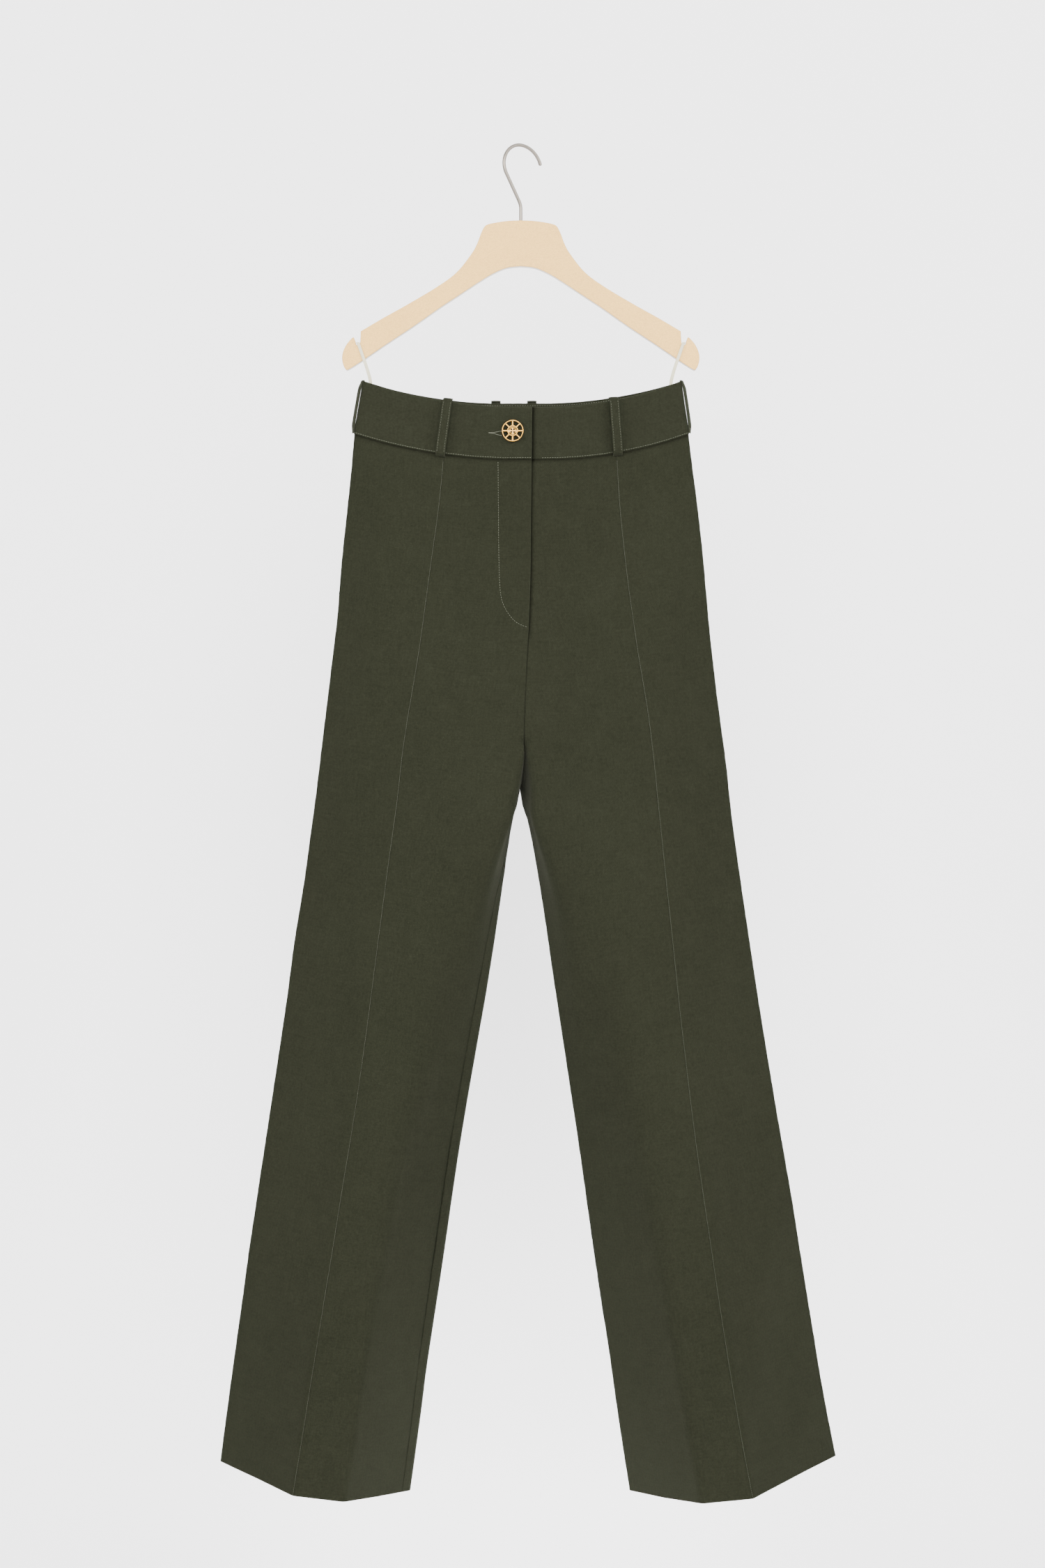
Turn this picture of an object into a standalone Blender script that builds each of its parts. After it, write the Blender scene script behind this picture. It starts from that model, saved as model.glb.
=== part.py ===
"""Flared trousers hung by two ribbon loops from a flat wooden hanger.

Frame: the origin is the inner crest of the hook, where it lies on a rail. +X is the viewer's right,
-Y is the front of the trousers and +Z is up. "Left" and "right" are the viewer's. Tables and sizes
are in millimetres, and "down" is a distance below the crest of the hook.
"""
import math
from collections import namedtuple

import bmesh
import bpy
import numpy as np
from mathutils import Matrix, Vector

MM = 0.001
SEAM_GAP = 0.3                    # clearance between two pieces that are sewn together
TRIM = SEAM_GAP / 2.0 + 0.03      # what each of the two gives up for it

# ---------------------------------------------------------------- cloth
CLOTH = 1.2                       # wall of one panel
BAND_WALL = 2.4                   # waistband, cloth folded over its stiffening
BAND_PROUD = 0.8                  # how far the waistband stands out from the panels under it
HEM_SIDE_DOWN = {"left": 1386.0, "right": 1380.1}
FRONT_DEPTH_GAIN = {"left": 0.0, "right": 0.13}   # the right leg stands deeper at its hem
SEAM_DEPTH_GAIN = {"left": 0.0, "right": 0.07}
GAIN_FROM, GAIN_RUN = 700.0, 686.0                # where these gains start, and over what length
CREASE_SHARE = 0.68               # front crease, share of the way from the side edge inwards
BACK_CREASE_SHARE = 0.62
EDGE_HALF = 3.0                   # half thickness of the pressed side edge
HEM_EDGE_SHARE = 0.65             # share of it that is left at the hem
INSEAM_WRAP = {"left": 9.0, "right": 0.0}         # back panel seen past the inner edge

# Depths of a section's corners, as shares of its front or back depth. The second figure of a pair
# goes with how soft the section is: 1 at the waist, 0 at the pressed hem.
SEAM_DEPTH = (0.98, -0.16)
CREASE_DEPTH = (1.0, -0.05)
SIDE_BOW = 0.17
ROLL_DEPTH = 0.94
AFT_MIDDLE_DEPTH = (0.54, 0.20)
AFT_ROLL_DEPTH = 0.90
AFT_ROLL_OUT = 2.0
LOOSE_CUT = (4.0, 60.0)           # length over which a section's corners are rounded

# One row for each section, from the waist seam to the hem: where its side edge, its inner roll and
# its meeting line (centre seam, crotch curve, then inseam) lie, how deep it stands, and its form.
Section = namedtuple("Section", [
    "side_down", "meet_down", "roll_down", "aft_down", "aft_roll_down", "meet_y", "aft_y",
    "front", "back", "box", "roll_cut", "sag", "soft"])
SECTIONS = (
    Section(302, 332, 332, 324, 324, -24, 22, 24, 22, 0.00, 30, 0.85, 1.00),
    Section(360, 388, 388, 382, 382, -27, 30, 27, 31, 0.00, 30, 0.85, 0.98),
    Section(433, 460, 460, 455, 455, -31, 41, 31, 42, 0.00, 30, 0.80, 0.95),
    Section(507, 530, 530, 525, 525, -36, 51, 36, 53, 0.00, 30, 0.70, 0.90),
    Section(560, 580, 580, 580, 580, -40, 56, 40, 60, 0.00, 26, 0.60, 0.85),
    Section(590, 606, 606, 615, 612, -41, 57, 42, 63, 0.50, 15, 0.50, 0.80),
    Section(612, 640, 636, 645, 640, -33, 52, 43, 65, 1.00, 9, 0.40, 0.77),
    Section(632, 665, 662, 667, 664, -15, 45, 44, 65, 1.00, 9, 0.30, 0.74),
    Section(650, 679, 686, 680, 686, 8, 38, 45, 65, 1.00, 9, 0.20, 0.71),
    Section(668, 684, 708, 684, 708, 30, 30, 46, 65, 1.00, 9, 0.10, 0.68),
    Section(705, 724, 735, 724, 735, 18, 18, 48, 65, 0.80, 10, 0.00, 0.62),
    Section(764, 790, 790, 790, 790, 6, 6, 50, 64, 0.50, 12, 0.00, 0.52),
    Section(838, 866, 866, 866, 866, 0, 0, 53, 63, 0.25, 20, 0.00, 0.42),
    Section(911, 940, 940, 940, 940, 0, 0, 57, 63, 0.10, 20, 0.00, 0.33),
    Section(1021, 1051, 1051, 1051, 1051, 0, 0, 65, 67, 0.00, 20, 0.00, 0.22),
    Section(1132, 1162, 1162, 1162, 1162, 0, 0, 74, 73, 0.00, 20, 0.00, 0.14),
    Section(1242, 1272, 1272, 1272, 1272, 0, 0, 84, 80, 0.00, 20, 0.00, 0.08),
    Section(1315, 1345, 1345, 1345, 1345, 0, 0, 90, 84, 0.00, 20, 0.00, 0.04),
    Section(1386, 1417, 1417, 1417, 1417, 0, 0, 95, 87, 0.00, 20, 0.00, 0.00),
)
FORK = 9                          # the section where front and back meet under the crotch

# The same sections seen from the front: distance outwards from the hook's axis of each leg's side
# edge, long front seam, inner roll, front meeting line and back meeting line.
Reach = namedtuple("Reach", ["side", "seam", "roll", "meet", "aft"])
REACH = {
    "left": (
        Reach(175.0, 80.1, -12.0, -12.0, 7.0), Reach(180.2, 85.7, -11.2, -11.2, 6.0),
        Reach(188.2, 95.3, -10.5, -10.5, 4.5), Reach(194.2, 104.6, -7.8, -7.8, 3.0),
        Reach(200.5, 112.5, -5.3, -5.3, 1.5), Reach(204.1, 117.0, -4.3, -4.3, 0.5),
        Reach(206.8, 120.6, -3.7, -3.9, -0.8), Reach(209.2, 123.6, -1.2, -3.4, -1.8),
        Reach(211.3, 125.9, 3.3, -3.0, -2.4), Reach(213.5, 128.0, 7.5, -2.8, -2.8),
        Reach(218.2, 132.3, 11.6, 10.5, 10.5), Reach(226.5, 140.2, 20.3, 20.3, 20.3),
        Reach(238.0, 150.0, 31.8, 31.8, 31.8), Reach(248.2, 159.2, 44.5, 44.5, 44.5),
        Reach(264.8, 175.0, 63.6, 63.6, 63.6), Reach(281.6, 192.7, 80.7, 80.7, 80.7),
        Reach(297.1, 210.2, 96.9, 96.9, 96.9), Reach(307.2, 221.5, 106.3, 106.3, 106.3),
        Reach(316.5, 232.8, 116.2, 116.2, 116.2)),
    "right": (
        Reach(177.2, 100.8, 12.0, 12.0, -7.0), Reach(183.8, 104.2, 11.2, 11.2, -6.0),
        Reach(192.4, 111.5, 10.5, 10.5, -4.5), Reach(199.2, 121.0, 7.8, 7.8, -3.0),
        Reach(205.0, 129.0, 5.3, 5.3, -1.5), Reach(208.7, 133.1, 4.5, 4.3, -0.5),
        Reach(211.6, 136.2, 8.2, 3.9, 0.8), Reach(214.1, 138.8, 10.8, 3.4, 1.8),
        Reach(216.2, 140.9, 12.0, 3.0, 2.4), Reach(218.3, 142.6, 12.1, 2.8, 2.8),
        Reach(222.5, 146.0, 13.5, 10.5, 10.5), Reach(230.5, 152.2, 22.1, 22.1, 22.1),
        Reach(241.4, 159.7, 33.4, 33.4, 33.4), Reach(252.4, 167.2, 44.5, 44.5, 44.5),
        Reach(270.2, 180.2, 61.4, 61.4, 61.4), Reach(288.8, 195.7, 77.8, 77.8, 77.8),
        Reach(306.7, 211.4, 93.9, 93.9, 93.9), Reach(318.8, 223.0, 104.1, 104.1, 104.1),
        Reach(332.3, 236.2, 115.4, 115.4, 115.4)),
}

# The waistband's top edge, in the same words.
BAND_TOP = Section(246, 277, 277, 268, 268, -23, 19, 23, 20, 0.00, 30, 0.80, 1.00)
BAND_TOP_REACH = {"left": Reach(165.4, 79.0, -12.5, -12.5, 7.0),
                  "right": Reach(169.1, 97.0, 12.5, 12.5, -7.0)}
BAND_EDGE_HALF = 5.0              # the band turns the side on a wider bend
UNDERLAP = 46.0                   # right half's end, under the left half
UNDERLAP_SET_IN = BAND_WALL + SEAM_GAP + 0.1
OVERLAP_EASE = 24.0               # length over which the right half sinks under the left

# Largest soft folds, laid on the panels: where the middle is, half length, half width, the turn of
# its run from upright, and how far it stands out (negative: a hollow).
Fold = namedtuple("Fold", ["leg", "face", "down", "across", "half_length", "half_width", "lean", "height"])
FOLD_CLEAR = 25.0                 # folds die out this far from the centre seams
FOLDS = (
    Fold("left", "front", 430, 150, 120, 22, 4, 2.2),
    Fold("left", "front", 640, 176, 190, 24, 8, 2.6),
    Fold("left", "front", 1010, 118, 150, 30, 38, 2.2),
    Fold("right", "front", 450, 160, 130, 22, -5, 2.0),
    Fold("right", "front", 860, 92, 170, 26, -32, -2.4),
    Fold("right", "front", 1200, 250, 120, 26, -10, 2.2),
    Fold("left", "back", 640, 95, 110, 26, 52, -4.5),
    Fold("left", "back", 735, 110, 120, 24, 46, 4.0),
    Fold("left", "back", 430, 70, 95, 24, 14, 3.0),
    Fold("right", "back", 655, 100, 115, 26, -50, -4.2),
    Fold("right", "back", 760, 112, 110, 24, -44, 3.8),
    Fold("right", "back", 445, 78, 90, 24, -12, 2.8),
)

# ---------------------------------------------------------------- fly, pockets, loops, button
FLY_END = 2.74                    # section number at which the fly stops, counted from the waist
FLY_SET_IN = CLOTH + SEAM_GAP     # right front's edge, under the left front's
FLY_EASE = 26.0
ZIP_REACH = (-26.0, -3.0)         # closed zip and its tape, across from the fly's edge
ZIP_DEPTH, ZIP_WALL = 1.6, 1.2    # depths are behind the outer face of the front
SHIELD_REACH = (-40.0, 14.0)      # underlap behind the zip
SHIELD_DEPTH, SHIELD_WALL = 3.4, 1.0
POCKET_ROWS = (1.12, 3.02)        # mouth, in sections
POCKET_GAPE = {"left": 3.3, "right": 0.6}
BAG_ROWS = (1.0, 3.5)
BAG_REACH = (7.0, 82.0)           # bag layer, measured inwards from the side edge
BAG_DEPTH, BAG_WALL = 1.8, 1.0

LOOP_WIDTH = 10.0
LOOP_WALL = 1.6
LOOP_SPAN = (-0.03, 1.03)         # from just under the waist seam to just over the band's top
LOOP_GAP = 5.6                    # room for a belt at the front and back loops
SIDE_LOOP_GAP = 2.2
LOOP_PLACES = {                   # distance across at the bottom and at the top of the band
    "loop_front_left": ("left", "front", 83.2, 75.6),
    "loop_front_right": ("right", "front", 101.5, 97.2),
    "loop_back_left": ("left", "back", 26.2, 26.2),
    "loop_back_right": ("right", "back", 12.2, 12.2),
}

BUTTON_AT = (-8.1, -302.7)        # x and z of its middle
BUTTON_RADIUS = 11.6
BUTTON_PROUD = 1.9                # its back stands this far off the band
BUTTON_RIM = 1.7
BUTTON_HUB = 5.9
BUTTON_SPOKES = 8
BUTTON_STEPS = 32
BUTTON_PROFILE = (                # (radius, height), from the rim's outer side round to its top
    (BUTTON_RADIUS, 1.9), (BUTTON_RADIUS, 0.5), (BUTTON_RADIUS - 0.5, 0.0), (0.0001, 0.0), (0.0001, 1.5),
    (BUTTON_HUB - 1.9, 1.5), (BUTTON_HUB - 1.0, 2.5), (BUTTON_HUB, 2.1), (BUTTON_HUB + 0.4, 1.3),
    (BUTTON_RADIUS - BUTTON_RIM, 1.3), (BUTTON_RADIUS - BUTTON_RIM, 2.2), (BUTTON_RADIUS - 0.5, 2.4))
SLOT_RADIUS = 1.55                # openings between the spokes
SLOT_STRETCH = (0.9, 1.15)        # across and along the rim
POST_RADIUS = (1.3, 1.5)          # the thread, at the button and at the cloth
POST_STEPS = 10
THREAD_HOLES = 4
THREAD_HOLE_RADIUS = 0.75
THREAD_HOLE_RING = 1.9

# ---------------------------------------------------------------- hanger
BOARD_THICK = 10.0
BOARD_EDGE = 1.3
BOARD_AXIS = 0.4                  # the hook stands this far right of the frame's X = 0
# Half outline, from the middle of the top round the tip to the middle of the underside.
Corner = namedtuple("Corner", ["across", "down"])
SHOULDER = (Corner(0.0, 78.3), Corner(12.0, 78.7), Corner(24.0, 80.2), Corner(33.5, 82.2),
            Corner(38.0, 84.6), Corner(41.9, 91.9), Corner(46.3, 103.5), Corner(52.3, 114.0),
            Corner(67.7, 133.1), Corner(88.4, 148.4), Corner(119.4, 166.9), Corner(145.1, 181.2),
            Corner(168.6, 195.1))
NOTCH = (Corner(168.9, 201.5), Corner(169.3, 207.0), Corner(170.6, 209.3), Corner(173.2, 209.3),
         Corner(174.6, 204.8), Corner(176.0, 201.4))
TIP = (Corner(178.0, 202.4), Corner(183.6, 209.0), Corner(187.2, 216.5), Corner(188.3, 224.0),
       Corner(186.7, 231.5), Corner(184.0, 235.8))
UNDERSIDE = (Corner(181.0, 235.0), Corner(168.4, 227.2), Corner(119.4, 200.3), Corner(80.7, 177.1),
             Corner(52.3, 155.1), Corner(38.0, 141.2), Corner(26.5, 132.4), Corner(13.7, 128.0),
             Corner(0.0, 126.5))
WIRE_RADIUS = 1.8
HOOK_BEND = 21.0                  # centre line, on the side of the stem
HOOK_OPEN_BEND = 26.0             # centre line, on the open side
HOOK_END_ANGLE = 74.0
HOOK_NECK_ANGLE = 30.0            # slope of the straight run from upright
HOOK_NECK_BEND = 18.0
HOOK_TURN = 33.0                  # the hook is swivelled out of the board's plane by this
SOCKET_RADIUS = WIRE_RADIUS + SEAM_GAP
SOCKET_DEPTH = 24.0
RIBBON_WIDTH = 3.3
RIBBON_WALL = 0.8
RIBBON_STEPS = 27
# One ribbon, seen from its side: across, depth in front of the board's middle, and down.
Bend = namedtuple("Bend", ["across", "forward", "down"])
RIBBON_FRONT = (Bend(157.5, 1.5, 268.0), Bend(158.2, 1.9, 252.0), Bend(159.6, 3.6, 243.0),
                Bend(163.5, 5.8, 230.0), Bend(168.4, 5.9, 216.0), Bend(170.9, 5.9, 208.9),
                Bend(171.8, 4.9, 207.2))

QUARTER_TURN = math.pi / 2.0


# ---------------------------------------------------------------- small helpers
def material(name, colour, roughness, metallic=0.0):
    """A plain Principled finish."""
    made = bpy.data.materials.new(name)
    made.use_nodes = True
    shader = made.node_tree.nodes["Principled BSDF"]
    shader.inputs["Base Color"].default_value = (*colour, 1.0)
    shader.inputs["Roughness"].default_value = roughness
    shader.inputs["Metallic"].default_value = metallic
    return made


def collection(name):
    """A collection linked to the scene."""
    made = bpy.data.collections.new(name)
    bpy.context.scene.collection.children.link(made)
    return made


def add_mesh(name, points, faces, finish, group):
    """Object from points in millimetres."""
    mesh = bpy.data.meshes.new(name)
    mesh.from_pydata((np.asarray(points, dtype=float) * MM).tolist(), [], faces)
    mesh.update()
    made = bpy.data.objects.new(name, mesh)
    made.data.materials.append(finish)
    group.objects.link(made)
    return made


def smooth_step(value):
    """0 below 0, 1 above 1, and a soft S between."""
    held = np.clip(value, 0.0, 1.0)
    return held * held * (3.0 - 2.0 * held)


def curve_through(values, places):
    """Smooth curve through rows of values at whole numbers, read at the given places."""
    values = np.asarray(values, dtype=float)
    places = np.clip(np.asarray(places, dtype=float), 0.0, len(values) - 1.0)
    low = np.minimum(places.astype(int), len(values) - 2)
    part = (places - low).reshape(-1, *([1] * (values.ndim - 1)))
    slope = np.gradient(values, axis=0)
    start, end = values[low], values[low + 1]
    leave, arrive = slope[low], slope[low + 1]
    return ((2 * part**3 - 3 * part**2 + 1) * start + (part**3 - 2 * part**2 + part) * leave
            + (3 * part**2 - 2 * part**3) * end + (part**3 - part**2) * arrive)


def lengths_along(path):
    """Distance from the start to each point of a path."""
    steps = np.linalg.norm(np.diff(path, axis=0), axis=1)
    return np.concatenate(([0.0], np.cumsum(steps)))


def rounded(corners, cuts, arc_steps=6):
    """Polyline whose inner corners are replaced by arcs that start `cuts` away from each."""
    corners = np.asarray(corners, dtype=float)
    points = [corners[0]]
    middles = [0]
    for index in range(1, len(corners) - 1):
        before, corner, after = corners[index - 1:index + 2]
        back, ahead = before - corner, after - corner
        cut = min(cuts[index - 1], 0.48 * np.linalg.norm(back), 0.48 * np.linalg.norm(ahead))
        start = corner + back / max(np.linalg.norm(back), 1e-9) * cut
        end = corner + ahead / max(np.linalg.norm(ahead), 1e-9) * cut
        share = np.linspace(0.0, 1.0, arc_steps)[:, None]
        arc = (1 - share)**2 * start + 2 * share * (1 - share) * corner + share**2 * end
        middles.append(len(points) + arc_steps // 2)
        points.extend(arc)
    points.append(corners[-1])
    return np.array(points), middles


def normals_of(grid):
    """Unit normals of a grid of points, from the steps along its rows and its columns."""
    across = np.gradient(grid, axis=1)
    along = np.gradient(grid, axis=0)
    normals = np.cross(across, along)
    return normals / np.maximum(np.linalg.norm(normals, axis=2, keepdims=True), 1e-9)


def wall(name, outer, inner, finish, group):
    """Closed wall between two grids of points: both faces and the four edges."""
    rows, columns = outer.shape[:2]
    points = np.concatenate((outer.reshape(-1, 3), inner.reshape(-1, 3)))
    front = np.arange(rows * columns).reshape(rows, columns)
    back = front + rows * columns
    faces = []
    for row in range(rows - 1):
        for column in range(columns - 1):
            faces.append((front[row, column], front[row + 1, column],
                          front[row + 1, column + 1], front[row, column + 1]))
            faces.append((back[row, column], back[row, column + 1],
                          back[row + 1, column + 1], back[row + 1, column]))
        faces.append((front[row, 0], back[row, 0], back[row + 1, 0], front[row + 1, 0]))
        faces.append((front[row, -1], front[row + 1, -1], back[row + 1, -1], back[row, -1]))
    for column in range(columns - 1):
        faces.append((front[0, column], front[0, column + 1], back[0, column + 1], back[0, column]))
        faces.append((front[-1, column], back[-1, column], back[-1, column + 1], front[-1, column + 1]))
    made = add_mesh(name, points, [tuple(int(v) for v in face) for face in faces], finish, group)
    shape = bmesh.new()
    shape.from_mesh(made.data)
    bmesh.ops.recalc_face_normals(shape, faces=shape.faces)
    shape.to_mesh(made.data)
    shape.free()
    made.data.shade_smooth()
    made.data.set_sharp_from_angle(angle=math.radians(40))
    return made


# ---------------------------------------------------------------- the form of one leg and its half of the top
class Half:
    """One leg with its half of the trousers' top, as closed sections cut into panels.

    Points are (outwards, y, down): outwards is measured from the hook's axis to the leg's own side.
    """

    FRONT_COLUMNS = (6, 3, 8)     # side to seam, seam to crease, crease to meeting line
    BACK_COLUMNS = (6, 6, 2)      # side to crease, crease to inner edge, on to the inseam
    BEND_STOPS = (0.0, 3.0, 8.0)  # the first columns, close together round the side edge
    LAST_STRIP = 9.0              # width of the strip between the inner edge and the inseam

    def __init__(self, leg, with_band=False):
        self.leg = leg
        self.sign = -1.0 if leg == "left" else 1.0
        scale = (HEM_SIDE_DOWN[leg] - SECTIONS[0].side_down) / (SECTIONS[-1].side_down - SECTIONS[0].side_down)
        forms = np.array(SECTIONS, dtype=float)
        forms[:, 0] = forms[0, 0] + (forms[:, 0] - forms[0, 0]) * scale
        reach = np.array(REACH[leg], dtype=float)
        if with_band:
            forms = np.array((BAND_TOP, SECTIONS[0]), dtype=float)
            reach = np.array((BAND_TOP_REACH[leg], REACH[leg][0]), dtype=float)
        self.forms = forms
        self.reach = reach

    def section(self, place):
        """Front and back paths of the section at a place counted in rows of the table."""
        form = Section(*curve_through(self.forms, [place])[0])
        reach = Reach(*curve_through(self.reach, [place])[0])
        is_leg = float(np.clip((place - FORK) / 2.0, 0.0, 1.0)) if len(self.forms) > 2 else 0.0
        low = float(np.clip((form.side_down - GAIN_FROM) / GAIN_RUN, 0.0, 1.0))
        front = form.front * (1.0 + FRONT_DEPTH_GAIN[self.leg] * low)
        wide = 1.0 if len(self.forms) == 2 else float(np.clip(1.0 - place, 0.0, 1.0))
        edge = (EDGE_HALF + (BAND_EDGE_HALF - EDGE_HALF) * wide)
        edge *= HEM_EDGE_SHARE + (1.0 - HEM_EDGE_SHARE) * form.soft

        crease_x = reach.side + CREASE_SHARE * (reach.roll - reach.side)
        seam_y = -front * (SEAM_DEPTH[0] + SEAM_DEPTH[1] * form.soft)
        seam_y *= 1.0 + SEAM_DEPTH_GAIN[self.leg] * low
        middle_x = (reach.side + reach.seam) / 2.0
        meet = np.array((reach.meet, form.meet_y))
        crease = np.array((crease_x, -front * (CREASE_DEPTH[0] + CREASE_DEPTH[1] * form.soft)))
        roll = (1 - form.box) * (crease + meet) / 2
        roll += form.box * np.array((reach.roll, -ROLL_DEPTH * front))
        last = (1 - is_leg) * (roll + meet) / 2 + is_leg * np.array((reach.meet, form.meet_y - edge))
        corners = ((reach.side, 0.0), (reach.side, -edge),
                   (middle_x, 0.5 * seam_y - SIDE_BOW * front * form.soft), (reach.seam, seam_y),
                   crease, roll, last, meet)
        loose = LOOSE_CUT[0] + LOOSE_CUT[1] * form.soft
        cuts = (edge, loose, loose, loose, form.roll_cut, edge)
        ahead, middles = rounded(corners, cuts)
        ahead = self._lay_down(ahead, middles[5], form.side_down, form.roll_down, form.meet_down, form.sag)
        seam_at = np.interp(-reach.seam, -ahead[:middles[4], 0], lengths_along(ahead)[:middles[4]])
        stops_ahead = (seam_at, lengths_along(ahead)[middles[4]])

        aft_meet = np.array((reach.aft, form.aft_y))
        aft_x = reach.side + BACK_CREASE_SHARE * (reach.roll - reach.side)
        aft_crease = np.array((aft_x, form.back))
        aft_roll = (1 - form.box) * (aft_crease + aft_meet) / 2
        aft_roll += form.box * np.array((reach.aft + AFT_ROLL_OUT, AFT_ROLL_DEPTH * form.back))
        aft_last = (1 - is_leg) * (aft_roll + aft_meet) / 2
        aft_last += is_leg * np.array((reach.aft, form.aft_y + edge))
        aft_depth = AFT_MIDDLE_DEPTH[0] + AFT_MIDDLE_DEPTH[1] * form.soft
        aft_middle = ((reach.side + aft_x) / 2.0, form.back * aft_depth)
        corners = ((reach.side, 0.0), (reach.side, edge), aft_middle, aft_crease,
                   aft_roll, aft_last, aft_meet)
        cuts = (edge, loose, loose, form.roll_cut, edge)
        behind, middles = rounded(corners, cuts)
        behind = self._lay_down(behind, middles[4], form.side_down, form.aft_roll_down, form.aft_down, form.sag)
        behind_stop = lengths_along(behind)[middles[3]]
        wrap = INSEAM_WRAP[self.leg] * is_leg
        if wrap > 0.0:
            ahead, behind = self._wrap(ahead, behind, wrap)
        return ahead, stops_ahead, behind, behind_stop

    @staticmethod
    def _lay_down(path, turn, side_down, turn_down, end_down, sag):
        """Add the third coordinate: a sagging line to the turn, then a straight one to the end."""
        run = lengths_along(path)
        share = np.clip(run / run[turn], 0.0, 1.0)
        down = side_down + (turn_down - side_down) * share * (1.0 + sag * (1.0 - share))
        rest = np.clip((run - run[turn]) / max(run[-1] - run[turn], 1e-9), 0.0, 1.0)
        down = down + (end_down - turn_down) * rest
        return np.column_stack((path, down))

    @staticmethod
    def _wrap(ahead, behind, wrap):
        """Give the last stretch of the front path to the back path."""
        run = lengths_along(ahead)
        cut_at = run[-1] - wrap
        cut = np.array([np.interp(cut_at, run, ahead[:, axis]) for axis in range(3)])
        kept = ahead[run < cut_at - 1e-6]
        passed = ahead[run > cut_at + 1e-6]
        return np.vstack((kept, cut)), np.vstack((behind, passed[::-1][1:], cut))

    @staticmethod
    def _read(path, distances):
        """Points of a path at the given distances from its start."""
        run = lengths_along(path)
        return np.column_stack([np.interp(distances, run, path[:, axis]) for axis in range(3)])

    def ring(self, place):
        """Columns from the front meeting line round the side to the back meeting line."""
        ahead, stops, behind, behind_stop = self.section(place)
        first, second, third = self.FRONT_COLUMNS
        end = lengths_along(ahead)[-1]
        front = np.concatenate((self.BEND_STOPS, np.linspace(self.BEND_STOPS[-1], stops[0], first - 1)[1:],
                                np.linspace(stops[0], stops[1], second + 1)[1:],
                                np.linspace(stops[1], end, third + 1)[1:]))
        first, second, third = self.BACK_COLUMNS
        end = lengths_along(behind)[-1]
        edge_at = end - self.LAST_STRIP
        back = np.concatenate((self.BEND_STOPS, np.linspace(self.BEND_STOPS[-1], behind_stop, first - 1)[1:],
                               np.linspace(behind_stop, edge_at, second + 1)[1:],
                               np.linspace(edge_at, end, third + 1)[1:]))
        return np.vstack((self._read(ahead, front)[::-1], self._read(behind, back)[1:]))

    def grid(self, places):
        """World points in millimetres, one row of columns for each place, with the folds laid on."""
        rows = np.array([self.ring(place) for place in places])
        side_column = sum(self.FRONT_COLUMNS)
        points = self.to_world(rows)
        return self._fold(points, rows, side_column)

    def to_world(self, rows):
        """(outwards, y, down) to (x, y, z)."""
        return np.stack((self.sign * rows[..., 0], rows[..., 1], -rows[..., 2]), axis=-1)

    def outward(self, grid, places):
        """Normals that point out of the cloth: closed round the leg below the fork, level at the waist seam."""
        closed = np.asarray(places) >= FORK
        before = 2 * grid[:, :1] - grid[:, 1:2]
        after = 2 * grid[:, -1:] - grid[:, -2:-1]
        if len(self.forms) > 2:
            before[closed] = grid[closed, -2:-1]
            after[closed] = grid[closed, 1:2]
        padded = np.concatenate((before, grid, after), axis=1)
        ahead = padded[:, 2:] - padded[:, 1:-1]
        behind = padded[:, 1:-1] - padded[:, :-2]
        ahead /= np.maximum(np.linalg.norm(ahead, axis=2, keepdims=True), 1e-9)
        behind /= np.maximum(np.linalg.norm(behind, axis=2, keepdims=True), 1e-9)
        along = np.gradient(grid, axis=0)
        normals = np.cross(ahead + behind, along) * -self.sign
        level = np.ones(len(grid), dtype=bool) if len(self.forms) == 2 else np.asarray(places) < 0.01
        normals[level, :, 2] = 0.0
        return normals / np.maximum(np.linalg.norm(normals, axis=2, keepdims=True), 1e-9)

    def _fold(self, grid, rows, side_column):
        """Lay the soft folds on the front columns or the back columns."""
        if len(self.forms) == 2:
            return grid
        normals = normals_of(grid) * -self.sign
        height = np.zeros(rows.shape[:2])
        for fold in FOLDS:
            if fold.leg != self.leg:
                continue
            lean = math.radians(fold.lean)
            low = rows[..., 2] - fold.down
            out = rows[..., 0] - fold.across
            run = low * math.cos(lean) + out * math.sin(lean)
            off = out * math.cos(lean) - low * math.sin(lean)
            lift = fold.height * np.exp(-(run / fold.half_length)**2 - (off / fold.half_width)**2)
            if fold.face == "front":
                lift[:, side_column:] = 0.0
            else:
                lift[:, :side_column + 1] = 0.0
            height += lift
        hold = smooth_step((rows[..., 2] - 320.0) / 60.0)
        for column in (0, -1):
            away = np.linalg.norm(grid - grid[:, column][:, None], axis=2)
            hold *= smooth_step((away - FOLD_CLEAR) / FOLD_CLEAR)
        return grid + normals * (height * hold)[..., None]


LONG_SPAN = 60.0


def row_places():
    """Places of the mesh rows: every row of the table, and one more between those far apart."""
    places = [0.0]
    for index in range(len(SECTIONS) - 1):
        span = SECTIONS[index + 1].side_down - SECTIONS[index].side_down
        parts = 2 if span > LONG_SPAN else 1
        places.extend(index + (step + 1) / parts for step in range(parts))
    return np.array(places)


def inset_columns(outer, inner, first, last):
    """Draw a panel's rows together so that its ends leave the seam gap, `first` and `last` wide."""
    for row in range(len(outer)):
        run = lengths_along(outer[row])
        kept = first[row] + run * (run[-1] - first[row] - last[row]) / run[-1]
        for grid in (outer, inner):
            grid[row] = np.column_stack([np.interp(kept, run, grid[row, :, axis]) for axis in range(3)])


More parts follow.
